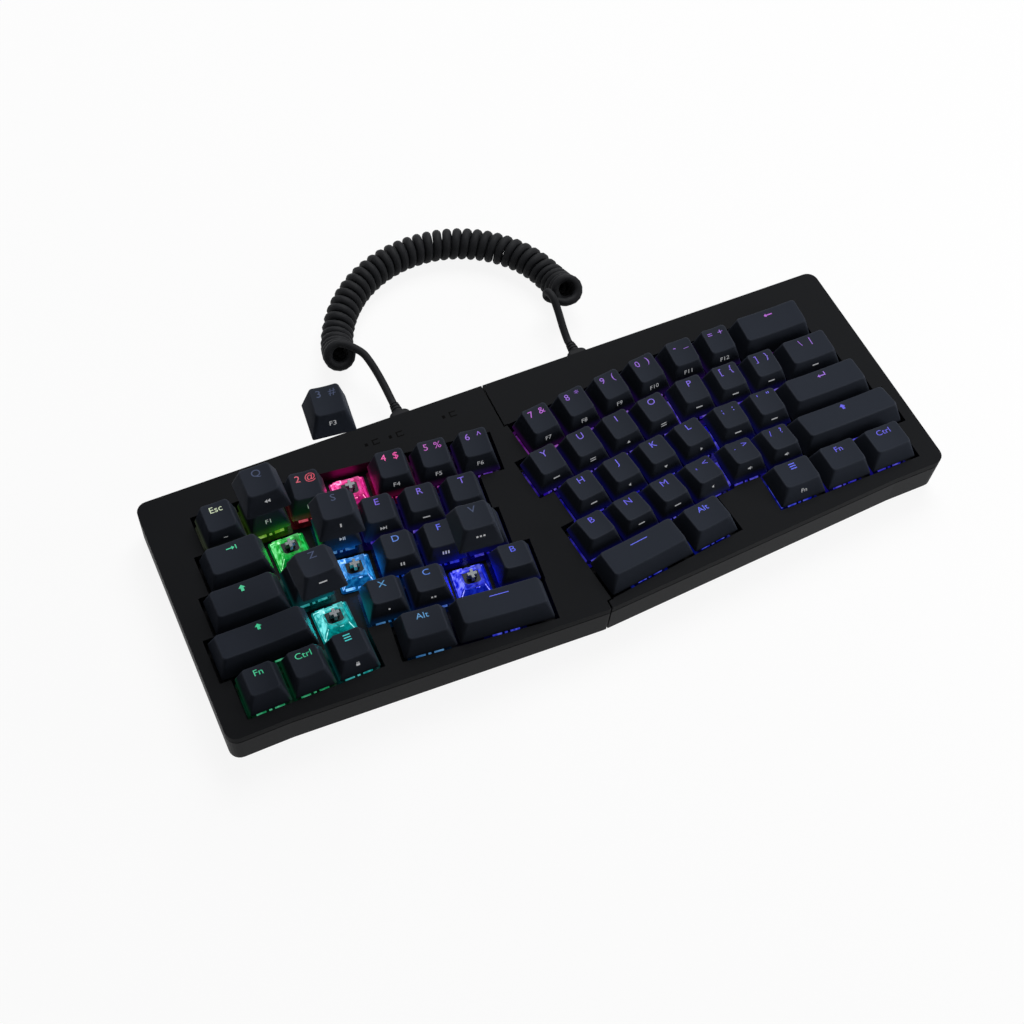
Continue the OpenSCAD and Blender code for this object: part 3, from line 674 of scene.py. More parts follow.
class Marks:
    """Flat shapes of legends: letters from Blender's own font, and signs drawn as polygons, in millimetres."""

    widen: float = 1.12
    capital_share: float = 0.73

    def __init__(self) -> None:
        """Draws the signs."""
        self.cache: dict[tuple[str, float], Shape] = {}
        bar = self.bar
        triangle_left = [(-0.9, 0.0), (0.3, 0.8), (0.3, -0.8)]
        triangle_right = [(0.9, 0.0), (-0.3, -0.8), (-0.3, 0.8)]
        self.signs: dict[str, list[list[Flat]]] = {
            "#tab": [[(1.3, 0.0), (0.1, 0.9), (0.1, 0.25), (-2.3, 0.25), (-2.3, -0.25), (0.1, -0.25), (0.1, -0.9)],
                     bar(1.7, -1.0, 2.15, 1.0)],
            "#up": [[(0.0, 1.6), (1.5, 0.1), (0.65, 0.1), (0.65, -1.5), (-0.65, -1.5), (-0.65, 0.1), (-1.5, 0.1)]],
            "#left": [[(-2.2, 0.0), (-0.9, 0.95), (-0.9, 0.28), (2.2, 0.28), (2.2, -0.28), (-0.9, -0.28),
                       (-0.9, -0.95)]],
            "#enter": [[(-2.2, -0.35), (-0.9, 0.6), (-0.9, -0.07), (1.6, -0.07), (1.6, 1.4), (2.15, 1.4),
                        (2.15, -0.63), (-0.9, -0.63), (-0.9, -1.3)]],
            "#dash": [bar(-4.2, -0.2, 4.2, 0.2)],
            "#lines": [bar(-1.5, y - 0.25, 1.5, y + 0.25) for y in (1.25, 0.0, -1.25)],
            "#bar": [bar(-1.6, -0.3, 1.6, 0.3)],
            "#pages": [bar(-1.4, 0.35, 1.4, 0.75), bar(-1.4, -0.75, 1.4, -0.35)],
            "#back": [triangle_left, [(x + 1.2, y) for x, y in triangle_left]],
            "#back1": [triangle_left],
            "#next": [triangle_right, [(x - 1.2, y) for x, y in triangle_right], bar(1.0, -0.8, 1.35, 0.8)],
            "#next1": [triangle_right],
            "#play": [triangle_right, bar(1.1, -0.8, 1.45, 0.8), bar(1.8, -0.8, 2.15, 0.8)],
            "#upmark": [[(0.0, 0.7), (-0.9, -0.6), (0.9, -0.6)]],
            "#downmark": [[(0.0, -0.7), (0.9, 0.6), (-0.9, 0.6)]],
            "#sound": [[(-1.2, -0.35), (-0.5, -0.35), (0.2, -0.9), (0.2, 0.9), (-0.5, 0.35), (-1.2, 0.35)],
                       bar(0.6, -0.5, 0.85, 0.5)],
            "#lock": [bar(-0.8, -0.9, 0.8, 0.2), bar(-0.6, 0.2, -0.3, 0.9), bar(0.3, 0.2, 0.6, 0.9),
                      bar(-0.6, 0.7, 0.6, 1.0)],
        }
        for count in (1, 2, 3):
            for name, half_x, half_y, step in (("bars", 0.3, 0.8, 1.2), ("dots", 0.4, 0.4, 1.4)):
                middles = [step * (i - (count - 1) / 2) for i in range(count)]
                self.signs[f"#{name}{count}"] = [bar(x - half_x, -half_y, x + half_x, half_y) for x in middles]

    @staticmethod
    def bar(x0: float, y0: float, x1: float, y1: float) -> list[Flat]:
        """Rectangle between two corners."""
        return [(x0, y0), (x1, y0), (x1, y1), (x0, y1)]

    def letters(self, text: str, height: float) -> Shape:
        """Flat mesh of a text, centred on its own middle.

        Args:
            text: Letters, digits or punctuation.
            height: Height of a capital.

        Returns:
            Points and faces.
        """
        key = (text, height)
        if key not in self.cache:
            curve = bpy.data.curves.new("legend_draft", "FONT")
            curve.body = text
            curve.size = height / self.capital_share
            curve.align_x = "CENTER"
            curve.resolution_u = 3
            holder = bpy.data.objects.new("legend_draft", curve)
            mesh = holder.to_mesh()
            points = [(v.co.x * self.widen, v.co.y - height / 2) for v in mesh.vertices]
            faces = [tuple(p.vertices) for p in mesh.polygons]
            holder.to_mesh_clear()
            bpy.data.objects.remove(holder)
            bpy.data.curves.remove(curve)
            self.cache[key] = (points, faces)
        return self.cache[key]

    def shape(self, mark: str, height: float) -> Shape:
        """Flat mesh of a sign or of letters."""
        if mark not in self.signs:
            return self.letters(mark, height)
        points: list[Flat] = []
        faces: list[tuple[int, ...]] = []
        for polygon in self.signs[mark]:
            faces.append(tuple(range(len(points), len(points) + len(polygon))))
            points.extend(polygon)
        return points, faces


@dataclass(frozen=True)
class Keycap:
    """Sculpted cap with a dished top, rounded edges, a hollow inside and a post for the stem."""

    key: Key
    gap: float = 0.95
    taper: float = 5.9
    front_lean: float = 3.8
    back_lean: float = 1.5
    wall: float = 1.5
    skirt: float = 6.2
    dish: float = 0.55
    edge: float = 0.5
    foot_corner: float = 0.8
    head_corner: float = 1.7
    hollow_corners: Flat = (0.6, 1.4)
    back_heights: tuple[float, ...] = (11.6, 9.2, 8.1, 7.4, 8.3)
    front_heights: tuple[float, ...] = (10.2, 8.7, 8.8, 9.9, 9.1)
    edge_bands: range = range(5, 9)
    painted_glow_bands: range = range(3, 5)
    front_points: int = 10
    post_bottom: float = 6.75
    post_radius: float = 2.7
    socket_radius: float = post_radius * 0.83
    socket_depth: float = 3.6
    post_sides: int = 24
    sign_height: float = 3.2
    word_height: float = 2.9
    front_mark_height: float = 2.2
    legend_from_back: float = 3.1
    pair_offset: float = 2.7
    legend_rise: float = 0.05
    print_rise: float = 0.06
    print_level: float = 0.57

    @property
    def foot_x(self) -> float:
        """Half the width at the skirt."""
        return (self.key.width * FIELD.pitch - self.gap) / 2

    @property
    def foot_y(self) -> float:
        """Half the depth at the skirt."""
        return (FIELD.pitch - self.gap) / 2

    @property
    def head_x(self) -> float:
        """Half the width at the top."""
        return self.foot_x - self.taper / 2

    @property
    def head_front(self) -> float:
        """Place of the top's front edge."""
        return -self.foot_y + self.front_lean

    @property
    def head_back(self) -> float:
        """Place of the top's back edge."""
        return self.foot_y - self.back_lean

    def matrix(self) -> Matrix:
        """Place of the cap, lifted if it is off its switch."""
        return Matrix.Translation(self.key.lift) @ self.key.matrix()

    def top_z(self, x: float, y: float) -> float:
        """Height of the top's surface above the plate, dished across the width.

        Args:
            x: Place across the key.
            y: Place along the key.

        Returns:
            Height in millimetres.
        """
        front, back = self.front_heights[self.key.row], self.back_heights[self.key.row]
        level = front + (back - front) * (y - self.head_front) / (self.head_back - self.head_front)
        side = min(1.0, abs(x) / self.head_x)
        return self.skirt + level - self.dish * (1 - side * side)

    def on_top(self, outline: Iterable[Flat], sink: float = 0.0) -> list[Vector]:
        """Lifts a flat outline onto the top's surface, or to a depth below it."""
        return [Vector((x, y, self.top_z(x, y) - sink)) for x, y in outline]

    def at_skirt(self, outline: Iterable[Flat]) -> list[Vector]:
        """Lifts a flat outline to the skirt."""
        return [Vector((x, y, self.skirt)) for x, y in outline]

    @staticmethod
    def outline(half_x: float, front: float, back: float, corner: float) -> list[Flat]:
        """Rounded rectangle with extra points along its sides, anticlockwise.

        Args:
            half_x: Half the width.
            front: Place of the front edge.
            back: Place of the back edge.
            corner: Radius of the corners.

        Returns:
            Points of the outline.
        """
        arc, along_x, along_y = 5, 8, 3
        corner = min(corner, half_x * 0.9, (back - front) * 0.45)
        centres = ((half_x - corner, front + corner, -90), (half_x - corner, back - corner, 0),
                   (-half_x + corner, back - corner, 90), (-half_x + corner, front + corner, 180))
        points: list[Flat] = []
        for i, (cx, cy, start) in enumerate(centres):
            for step in range(arc + 1):
                angle = math.radians(start + 90 * step / arc)
                points.append((cx + corner * math.cos(angle), cy + corner * math.sin(angle)))
            nx, ny, turn = centres[(i + 1) % 4]
            end = math.radians(turn)
            x0, y0 = points[-1]
            x1, y1 = nx + corner * math.cos(end), ny + corner * math.sin(end)
            count = along_y if i % 2 == 0 else along_x
            for step in range(1, count):
                points.append((x0 + (x1 - x0) * step / count, y0 + (y1 - y0) * step / count))
        return points

    def shell(self) -> list[list[Vector]]:
        """Rings of the shell: down inside the hollow, up the sides, over the edge and in to the top's middle."""
        foot_x, foot_y, head_x, front, back = self.foot_x, self.foot_y, self.head_x, self.head_front, self.head_back
        wall, edge = self.wall, self.edge
        low = self.at_skirt(self.outline(foot_x, -foot_y, foot_y, self.foot_corner))
        high = self.on_top(self.outline(head_x, front, back, self.head_corner))
        inset = self.outline(head_x - edge, front + edge, back - edge, self.head_corner - edge * 0.4)
        flat = self.on_top(inset)
        # The rounding of the edge starts a little more than its own width below the top.
        shoulder = [a.lerp(b, 1 - 1.1 * edge / (b - a).length) for a, b in zip(low, high)]
        foot_corner, roof_corner = self.hollow_corners
        hollow = self.outline(head_x - wall, front + wall, back - wall, roof_corner)
        roof = self.on_top(hollow, wall)
        rings = [[Vector((x * 0.05, y * 0.05 + 1.0, roof[0].z)) for x, y in hollow], roof,
                 self.at_skirt(self.outline(foot_x - wall, -foot_y + wall, foot_y - wall, foot_corner)),
                 low, [a.lerp(b, 0.5) for a, b in zip(low, high)], shoulder]
        for s in (0.25, 0.5, 0.75):
            rings.append([a * (1 - s) ** 2 + h * (2 * s * (1 - s)) + c * s * s
                          for a, h, c in zip(shoulder, high, flat)])
        rings.append(flat)
        middle = (front + back) / 2
        for scale in (0.86, 0.66, 0.42, 0.18, 0.03):
            rings.append(self.on_top((x * scale, middle + (y - middle) * scale) for x, y in inset))
        return rings

    def add_to(self, parts: MeshParts, materials: Materials) -> None:
        """Adds the cap's shell, hollow and post to a piece.

        Args:
            parts: Piece that the cap belongs to.
            materials: Finishes of the keyboard.
        """
        place = self.matrix()
        rings = [[place @ p for p in ring] for ring in self.shell()]
        # The edge bands get the paler finish: worn edges with a painted highlight.
        first = parts.add_rings(rings, materials.cap, band=self.edge_bands, band_material=materials.cap_edge)
        if not self.key.is_lifted and self.key.width == 1:
            # Single caps get the painted glow on the foot of their sides; wide caps and the front faces of the front
            # row stay dark.
            count = len(rings[0])
            reach = count if self.key.row < 4 else count - self.front_points
            for ring in self.painted_glow_bands:
                start = first + ring * count
                parts.slots[start:start + reach] = [parts.slot_of(materials.cap_painted_side_glow[self.key.led])] * reach
        self.add_post(parts, place, materials.cap)

    def add_post(self, parts: MeshParts, place: Matrix, material: Material) -> None:
        """Adds the round post whose socket takes the cross of the stem."""
        roof, bottom = self.top_z(0, 0) - self.wall * 0.8, self.post_bottom
        levels = ((self.post_radius, roof), (self.post_radius, bottom), (self.socket_radius, bottom),
                  (self.socket_radius, bottom + self.socket_depth))
        angles = [math.tau * i / self.post_sides for i in range(self.post_sides)]
        rings = [[place @ Vector((radius * math.cos(a), radius * math.sin(a), z)) for a in angles]
                 for radius, z in levels]
        parts.add_rings(rings, material, close_first=False)

    def add_legends(self, parts: MeshParts, marks: Marks, materials: Materials) -> None:
        """Adds the lit legend on the top and the printed mark on the front.

        Args:
            parts: Piece that the cap belongs to.
            marks: Shapes of the legends.
            materials: Finishes of the keyboard.
        """
        place = self.matrix()
        pair = self.key.top.split(" ")
        offsets = [0.0] if len(pair) == 1 else [-self.pair_offset, self.pair_offset]
        line_y = self.head_back - self.legend_from_back
        ink = materials.cap_legend if self.key.is_lifted else materials.legend[self.key.led]
        for mark, offset in zip(pair, offsets):
            is_word = len(mark) > 1 and not mark.startswith("#")
            points, faces = marks.shape(mark, self.word_height if is_word else self.sign_height)
            lifted = self.on_top(((x + offset, y + line_y) for x, y in points), -self.legend_rise)
            parts.add([place @ p for p in lifted], faces, ink)
        if self.key.front:
            self.add_front_mark(parts, marks, place, materials.print)

    def add_front_mark(self, parts: MeshParts, marks: Marks, place: Matrix, ink: Material) -> None:
        """Adds the printed mark on the cap's front face."""
        points, faces = marks.shape(self.key.front, self.front_mark_height)
        foot = Vector((0.0, -self.foot_y, self.skirt))
        edge = Vector((0.0, self.head_front, self.skirt + self.front_heights[self.key.row]))
        slope = (edge - foot).normalized()
        out = Vector((0.0, -slope.z, slope.y)) * self.print_rise
        middle = foot.lerp(edge, self.print_level)
        placed = [place @ (middle + Vector((x, 0.0, 0.0)) + slope * y + out) for x, y in points]
        parts.add(placed, faces, ink)


@dataclass(frozen=True)
class SwitchStem:
    """Stem of a switch: a slider with a cross on top."""

    key: Key
    slider: Flat = (7.0, 5.4)
    slider_span: Flat = (1.0, 6.4)
    cross: Flat = (4.1, 1.3)
    cross_top: float = 10.2

    def add_to(self, parts: MeshParts, material: Material) -> None:
        """Adds the stem to a piece."""
        low, high = self.slider_span
        length, breadth = self.cross
        for (wide, deep), bottom, top in ((self.slider, low, high), ((length, breadth), high, self.cross_top),
                                          ((breadth, length), high, self.cross_top)):
            parts.add_box((-wide / 2, -deep / 2, bottom), (wide / 2, deep / 2, top), self.key.matrix(), material)


@dataclass(frozen=True)
class SwitchHousing:
    """Clear switch: a base in the plate, a flange on it and a cover with a window for the stem."""

    key: Key
    base: float = 13.9
    flange: float = 15.6
    flange_height: float = 1.0
    head: float = 10.0
    height: float = 6.6
    window: Flat = (7.4, 5.8)
    painted_glow_sheet: float = 18.95
    painted_glow_sheet_corner: float = 0.6
    foot_bands: range = range(5, 9)
    # A pressed cap comes down to just above the bars, which are 1.1 mm above the plate at their feet.
    bar_top: float = 2.05
    middle_bar_top: float = 1.7
    bar_foot: float = 1.1
    bar_rows: tuple[Flat, ...] = ((-7.55, -6.6), (6.6, 7.55))
    side_bar: tuple[Point, Flat] = ((-8.6, -6.5, 0.15), (-7.5, 6.5))
    inner_side_top: float = 1.2

    @staticmethod
    def square(place: Matrix, side_x: float, side_y: float, z: float, corner: float) -> list[Vector]:
        """Rectangle with cut corners at a height, moved by a matrix."""
        x, y = side_x / 2, side_y / 2
        flat = [(x, -y + corner), (x, y - corner), (x - corner, y), (-x + corner, y),
                (-x, y - corner), (-x, -y + corner), (-x + corner, -y), (x - corner, -y)]
        return [place @ Vector((px, py, z)) for px, py in flat]

    def levels(self) -> list[tuple[float, float, float, float]]:
        """Widths, heights and corners of the housing, from inside the window over the cover to the base."""
        x, y = self.window
        levels = [(x, y, -4.0, 0.2), (x, y, self.height, 0.2), (x + 0.8, y + 0.8, self.height, 0.3)]
        for side, z, corner in ((self.head, self.height - 0.35, 1.0), (self.head + 1.6, self.height - 2.4, 1.0),
                                (self.flange - 1.4, self.flange_height + 0.3, 0.8),
                                (self.flange, self.flange_height, 0.6), (self.flange, 0.02, 0.6),
                                (self.base, -0.02, 0.3), (self.base, -5.0, 0.3)):
            levels.append((side, side, z, corner))
        return levels

    def add_to(self, parts: MeshParts, materials: Materials) -> None:
        """Adds the housing to a piece.

        Args:
            parts: Piece that holds all housings of one half.
            materials: Finishes of the keyboard.
        """
        place, led, is_open = self.key.matrix(), self.key.led, self.key.is_lifted
        # Under a cap the housing glows dimly; an open cover glows more, with painted shade on its foot bands.
        body = (materials.cover if is_open else materials.housing)[led]
        rings = [self.square(place, *level) for level in self.levels()]
        first = parts.add_rings(rings, body, band=self.foot_bands,
                                band_material=materials.deep[led] if is_open else body)
        self.add_bars(parts, place, (materials.bright if is_open else materials.bars)[led])
        if self.key.on_right and self.key.start == 0:
            # The gap beside these blocks is open, so the light on the left side of the cover shows; a glowing bar
            # paints it.
            is_inner = self.key.block is Block.RIGHT_INNER
            top, finish = (self.inner_side_top, materials.side) if is_inner else (self.bar_top, materials.bars)
            low, high = self.side_bar
            parts.add_box(low, (*high, top), place, finish[led])
        if not is_open:
            self.add_painted_glow_sheet(parts, place, (materials.painted_glow_sheet_bright if self.key.on_right else materials.painted_glow_sheet)[led])
            return
        self.add_cover(parts, place, materials)
        # Painted light and shade: the lamp sits at the back left, so those facets are painted brightest and the front
        # ones painted deepest.
        back, left, front, facets = (1, 2, 3), (4,), (5, 6, 7), len(rings[0])
        for ring, sides, finish in ((2, back + left, materials.bright), (3, left, materials.bright),
                                    (3, front, materials.deep), (4, front, materials.deep),
                                    (4, left, materials.bright)):
            for side in sides:
                parts.slots[first + ring * facets + side] = parts.slot_of(finish[led])

    def add_painted_glow_sheet(self, parts: MeshParts, place: Matrix, material: Material) -> None:
        """Adds a thin sheet on the plate round the switch with a painted glow that stands in for the switch's light on
        the plate.
        """
        inner, low, high = self.flange + 0.1, 0.02, 0.1
        rings = [self.square(place, side, side, z, self.painted_glow_sheet_corner)
                 for side, z in ((inner, low), (inner, high), (self.painted_glow_sheet, high), (self.painted_glow_sheet, low))]
        parts.add_rings(rings, material, close_first=False, close_last=False)

    def add_bars(self, parts: MeshParts, place: Matrix, material: Material) -> None:
        """Adds glowing bars at the front and the back of the cover, painted light for its lit edges, low enough for a
        pressed cap.
        """
        for y0, y1 in self.bar_rows:
            for low, high, top in ((-6.0, -1.9, self.bar_top), (-0.6, 0.6, self.middle_bar_top),
                                   (1.9, 6.0, self.bar_top)):
                parts.add_box((low, y0, self.bar_foot), (high, y1, top), place, material)

    def add_cover(self, parts: MeshParts, place: Matrix, materials: Materials) -> None:
        """Adds the edges, lenses and stem guide that show on a switch without its cap, as glowing ribs and blocks that
        carry painted highlights and, at the front, painted shade.

        Args:
            parts: Piece that holds all housings of one half.
            place: Place of the switch.
            materials: Finishes of the keyboard.
        """
        painted_rim, bars = materials.painted_rim[self.key.led], materials.bars[self.key.led]
        corner_rib, side_rib, top_rib, guide_rib = 0.16, 0.17, 0.14, 0.2
        guide_x, guide_y = 4.5, 4.1
        top, foot = self.head / 2 - 0.5, self.flange / 2 - 0.9
        high, low = self.height - 0.3, self.flange_height + 0.3
        corner = {(x, y): (Vector((x * top, y * top, high)), Vector((x * foot, y * foot, low)))
                  for x in (-1, 1) for y in (-1, 1)}
        for upper, lower in corner.values():
            parts.add_strut(upper, lower, corner_rib, place, painted_rim)
        # The light leaves the left side as two lines, painted as two glowing ribs.
        for inset in (0.0, 1.1):
            shift = Vector((inset, 0.0, 0.05 + inset * 0.4))
            parts.add_strut(corner[-1, 1][1] + shift, corner[-1, -1][1] + shift, side_rib, place, painted_rim)
        for start, end in (((-1, 1), (1, 1)), ((1, 1), (1, -1)), ((-1, 1), (-1, -1))):
            parts.add_strut(corner[start][0], corner[end][0], top_rib, place, bars)
        for x0, x1, finish in ((-5.1, -2.9, painted_rim), (2.9, 5.1, bars)):
            parts.add_box((x0, 2.9, high - 0.6), (x1, 5.0, high + 0.35), place, finish)
        guide = [Vector((guide_x * math.cos(a), guide_y * math.sin(a) + 0.2, self.height + 0.1))
                 for a in (math.radians(150 + 24 * i) for i in range(11))]
        for start, end in zip(guide, guide[1:]):
            parts.add_strut(start, end, guide_rib, place, bars)
        parts.add_box((-2.6, -5.0, high - 0.4), (2.6, -4.5, high + 0.12), place, materials.deep[self.key.led])
        parts.add_box((0.4, -5.25, high - 0.5), (2.0, -5.05, high + 0.1), place, painted_rim)


@dataclass(frozen=True)
class CurlyCable:
    """Curly cord between the halves, wound on an arch behind the keyboard, with a free stretch at each end."""

    centre: Flat = (165.6, 60.0)
    radius: float = 61.0
    tuck: float = 6.5
    start: float = 172.0
    end: float = 3.4
    low: float = 7.4
    bend: float = 48.0
    bend_radius: float = 30.0
    start_angle: float = 120.0
    end_angle: float = -90.0
    curl: float = 5.55
    curls: int = 39
    coil_diameter: float = 4.5
    lead_diameter: float = 3.7
    cad_diameter: float = 3.0
    steps_per_turn: int = 16
    sides: int = 12
    plug_y: float = 37.6
    plug_z: float = 10.6
    left_plug_x: float = 6.245 * FIELD.pitch
    right_plug_x: float = 10.99 * FIELD.pitch
    left_steps: tuple[Point, ...] = ((0, 0, 0), (0, 3, 0), (-0.3, 10, 1.5), (-1, 17, 3.4), (-2.2, 23, 5.6),
                                     (-3.9, 28, 7.2))
    right_steps: tuple[Point, ...] = ((0, 0, 0), (0, 3, 0), (0.4, 9, 2.2), (0.9, 16, 6), (0.9, 22, 9.2),
                                      (0.5, 26.4, 8.6), (0.3, 28, 5.8), (1.2, 26.6, 3.4))

    @property
    def shift(self) -> Vector:
        """From the key field's corner to the keyboard's frame."""
        return Vector((-FIELD.units * FIELD.pitch / 2, FIELD.shift_y, 0.0))

    @property
    def flat_length(self) -> float:
        """Length of the coil's middle line on the ground plan."""
        return self.radius * math.radians(self.start - self.end)

    @property
    def end_run(self) -> float:
        """Length of a bent end on the ground plan."""
        return self.bend_radius * math.sin(math.radians(self.bend))

    @property
    def end_length(self) -> float:
        """True length of a bent end."""
        return self.bend_radius * math.radians(self.bend)

    @property
    def length(self) -> float:
        """True length of the coil's middle line."""
        return self.flat_length - 2 * self.end_run + 2 * self.end_length

    @property
    def turns(self) -> float:
        """Turns of the cord round the middle line."""
        return self.curls - 1 + (self.start_angle - self.end_angle) / 360

    def end_turn(self, s: float) -> float:
        """How far the middle line has turned up at a length from its left end, in radians."""
        return math.radians(self.bend) * max(0.0, 1 - min(s, self.length - s) / self.end_length)

    def run(self, s: float) -> float:
        """Length on the ground plan for a true length."""
        near = min(s, self.length - s)
        if near < self.end_length:
            near = self.end_run - self.bend_radius * math.sin(self.end_turn(s))
        else:
            near += self.end_run - self.end_length
        return near if s <= self.length / 2 else self.flat_length - near

    def axis(self, s: float) -> Vector:
        """Middle of the coil at a length from its left end."""
        share = self.run(s) / self.flat_length
        angle = math.radians(self.start + (self.end - self.start) * share)
        radius = self.radius - self.tuck * share ** 6
        x, y = self.centre
        return self.shift + Vector((x + radius * math.cos(angle), y + radius * math.sin(angle),
                                    self.low + self.bend_radius * (1 - math.cos(self.end_turn(s)))))

    def frame(self, s: float) -> tuple[Vector, Vector]:
        """Directions outward and upward at a length from the coil's left end."""
        along = (self.axis(min(self.length, s + 0.05)) - self.axis(max(0.0, s - 0.05))).normalized()
        outward = -along.cross(Vector((0.0, 0.0, 1.0))).normalized()
        return outward, along.cross(outward)

    def wound(self, s: float) -> tuple[Vector, Vector]:
        """Point of the wound cord at a length of the coil, and its direction round the coil's middle line."""
        outward, upward = self.frame(s)
        angle = math.radians(self.start_angle - 360 * self.turns * s / self.length)
        arm = math.cos(angle) * outward + math.sin(angle) * upward
        return self.axis(s) + self.curl * arm, math.sin(angle) * outward - math.cos(angle) * upward

    def wound_half(self, coil: Sequence[Vector], i: int) -> float:
        """Half the thickness of the wound cord, whose soft curls press on each other where they come close.

        Args:
            coil: Middle line of the wound cord.
            i: Number of a point of it.

        Returns:
            Half the thickness in millimetres.
        """
        near = [j for j in (i - self.steps_per_turn, i + self.steps_per_turn) if 0 <= j < len(coil)]
        return min(self.coil_diameter / 2, 0.49 * min((coil[j] - coil[i]).length for j in near))

    def stretches(self) -> tuple[list[Vector], list[Vector], list[Vector]]:
        """Middle lines of the left lead, the coil and the right lead, in order."""
        count = int(self.turns * self.steps_per_turn)
        wound = [self.wound(self.length * i / count) for i in range(count + 1)]
        coil = [point for point, _ in wound]
        leads: list[list[Vector]] = []
        for plug_x, steps, (tip, way), sign in ((self.left_plug_x, self.left_steps, wound[0], -1),
                                                (self.right_plug_x, self.right_steps, wound[-1], 1)):
            plug = self.shift + Vector((plug_x, self.plug_y, self.plug_z))
            out = sign * way
            leads.append(self.smooth([plug + Vector(step) for step in steps] + [tip + self.cad_diameter * out, tip]))
        return leads[0][:-1], coil, list(reversed(leads[1]))[1:]

    @staticmethod
    def smooth(stops: Sequence[Vector], steps: int = 5) -> list[Vector]:
        """Smooth curve through stops, without doubling points.

        Args:
            stops: Places that the curve passes.
            steps: Points per stretch.

        Returns:
            Points of the curve.
        """
        ends = [2 * stops[0] - stops[1]] + list(stops) + [2 * stops[-1] - stops[-2]]
        points: list[Vector] = []
        for i in range(1, len(ends) - 2):
            a, b, c, d = ends[i - 1:i + 3]
            for step in range(steps):
                t = step / steps
                points.append(0.5 * ((2 * b) + (c - a) * t + (2 * a - 5 * b + 4 * c - d) * t * t
                                     + (3 * b - a - 3 * c + d) * t ** 3))
        points.append(stops[-1])
        return points

    def build(self, materials: Materials) -> None:
        """Args:
            materials: Finishes of the keyboard.
        """
        first, coil, last = self.stretches()
        path = first + coil + last
        lead_half = self.lead_diameter / 2
        angles = [math.tau * k / self.sides for k in range(self.sides)]
        normal = Vector((1.0, 0.0, 0.0))
        rings: list[list[Vector]] = []
        for i, point in enumerate(path):
            way = (path[min(i + 1, len(path) - 1)] - path[max(i - 1, 0)]).normalized()
            normal = (normal - way * normal.dot(way)).normalized()
            side = way.cross(normal)
            # The wound part has a thicker jacket, which starts within the first half curl.
            inside = min(i - len(first), len(first) + len(coil) - 1 - i)
            wound = self.wound_half(coil, max(0, min(len(coil) - 1, i - len(first))))
            half = lead_half + (wound - lead_half) * max(0.0, min(1.0, 0.5 + inside / self.steps_per_turn))
            rings.append([point + half * (math.cos(a) * normal + math.sin(a) * side) for a in angles])
        parts = MeshParts()
        parts.add_rings(rings, materials.cord)
        cord = parts.build("curly_cord", 80)
        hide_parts("left_lead", "cable_coil", "right_lead")
        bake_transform(cord)
        length = sum((b - a).length for a, b in zip(path, path[1:]))


@dataclass(frozen=True)
class CablePlug:
    """Moulded plug of the curly cord: a neck in the case, a grip with round shoulders and a ribbed strain relief."""

    side: str
    centre_x: float
    back: float = 62.9
    level: float = 10.6
    neck: Flat = (4.6, 2.3)
    neck_length: float = 2.2
    grip: Flat = (5.0, 3.0)
    grip_length: float = 7.0
    shoulder: float = 2.2
    shoulder_shrink: Flat = (2.1, 0.3)
    lip: float = 0.5
    corners: tuple[float, ...] = (1.2, 1.4, 1.6, 1.7)
    relief_length: float = 5.0
    relief: float = 2.75
    tip: float = 2.2
    ribs: int = 3
    groove: float = 0.35
    points: int = 32

    def section(self, half_x: float, half_z: float, corner: float) -> list[Flat]:
        """Rounded rectangle across the plug."""
        section: list[Flat] = []
        for i in range(self.points):
            angle = math.tau * (i + 0.5) / self.points
            sign_x, sign_z = math.copysign(1, math.cos(angle)), math.copysign(1, math.sin(angle))
            section.append((sign_x * (half_x - corner) + corner * math.cos(angle),
                            sign_z * (half_z - corner) + corner * math.sin(angle)))
        return section

    def profile(self) -> list[tuple[float, list[Flat]]]:
        """Places along the plug and the sections there."""
        wide, high = self.grip
        end = self.back + self.grip_length
        neck_corner, lip_corner, grip_corner, shoulder_corner = self.corners
        neck = self.section(*self.neck, neck_corner)
        levels = [(self.back - self.neck_length, neck), (self.back - 0.02, neck),
                  (self.back, self.section(wide - self.lip, high - self.lip, lip_corner)),
                  (self.back + self.lip, self.section(wide, high, grip_corner))]
        # The shoulders turn through a quarter round into the strain relief.
        for step in range(6):
            turn = math.radians(90 * step / 5)
            shrink = 1 - math.cos(turn)
            half_x, half_z = (half - by * shrink for half, by in zip(self.grip, self.shoulder_shrink))
            levels.append((end - self.shoulder + self.shoulder * math.sin(turn),
                           self.section(half_x, half_z, shoulder_corner)))
        step = self.relief_length / self.ribs
        for rib in range(self.ribs):
            start = end + self.relief_length * rib / self.ribs
            for share, groove in ((0.08, 0.0), (0.5, 0.0), (0.62, self.groove), (0.94, self.groove)):
                radius = self.relief + (self.tip - self.relief) * (rib + share) / self.ribs - groove
                levels.append((start + step * share, self.section(radius, radius, radius)))
        levels.append((end + self.relief_length, self.section(self.tip, self.tip, self.tip)))
        return levels

    def build(self, materials: Materials) -> None:
        """Makes the plug.

        Args:
            materials: Finishes of the keyboard.
        """
        parts = MeshParts()
        rings = [[Vector((self.centre_x - x, y, self.level + z)) for x, z in section] for y, section in self.profile()]
        parts.add_rings(rings, materials.cord)
        plug = parts.build(f"{self.side}_moulded_plug", 30)
        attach(plug, f"{self.side}_half")
        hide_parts(f"{self.side}_plug")


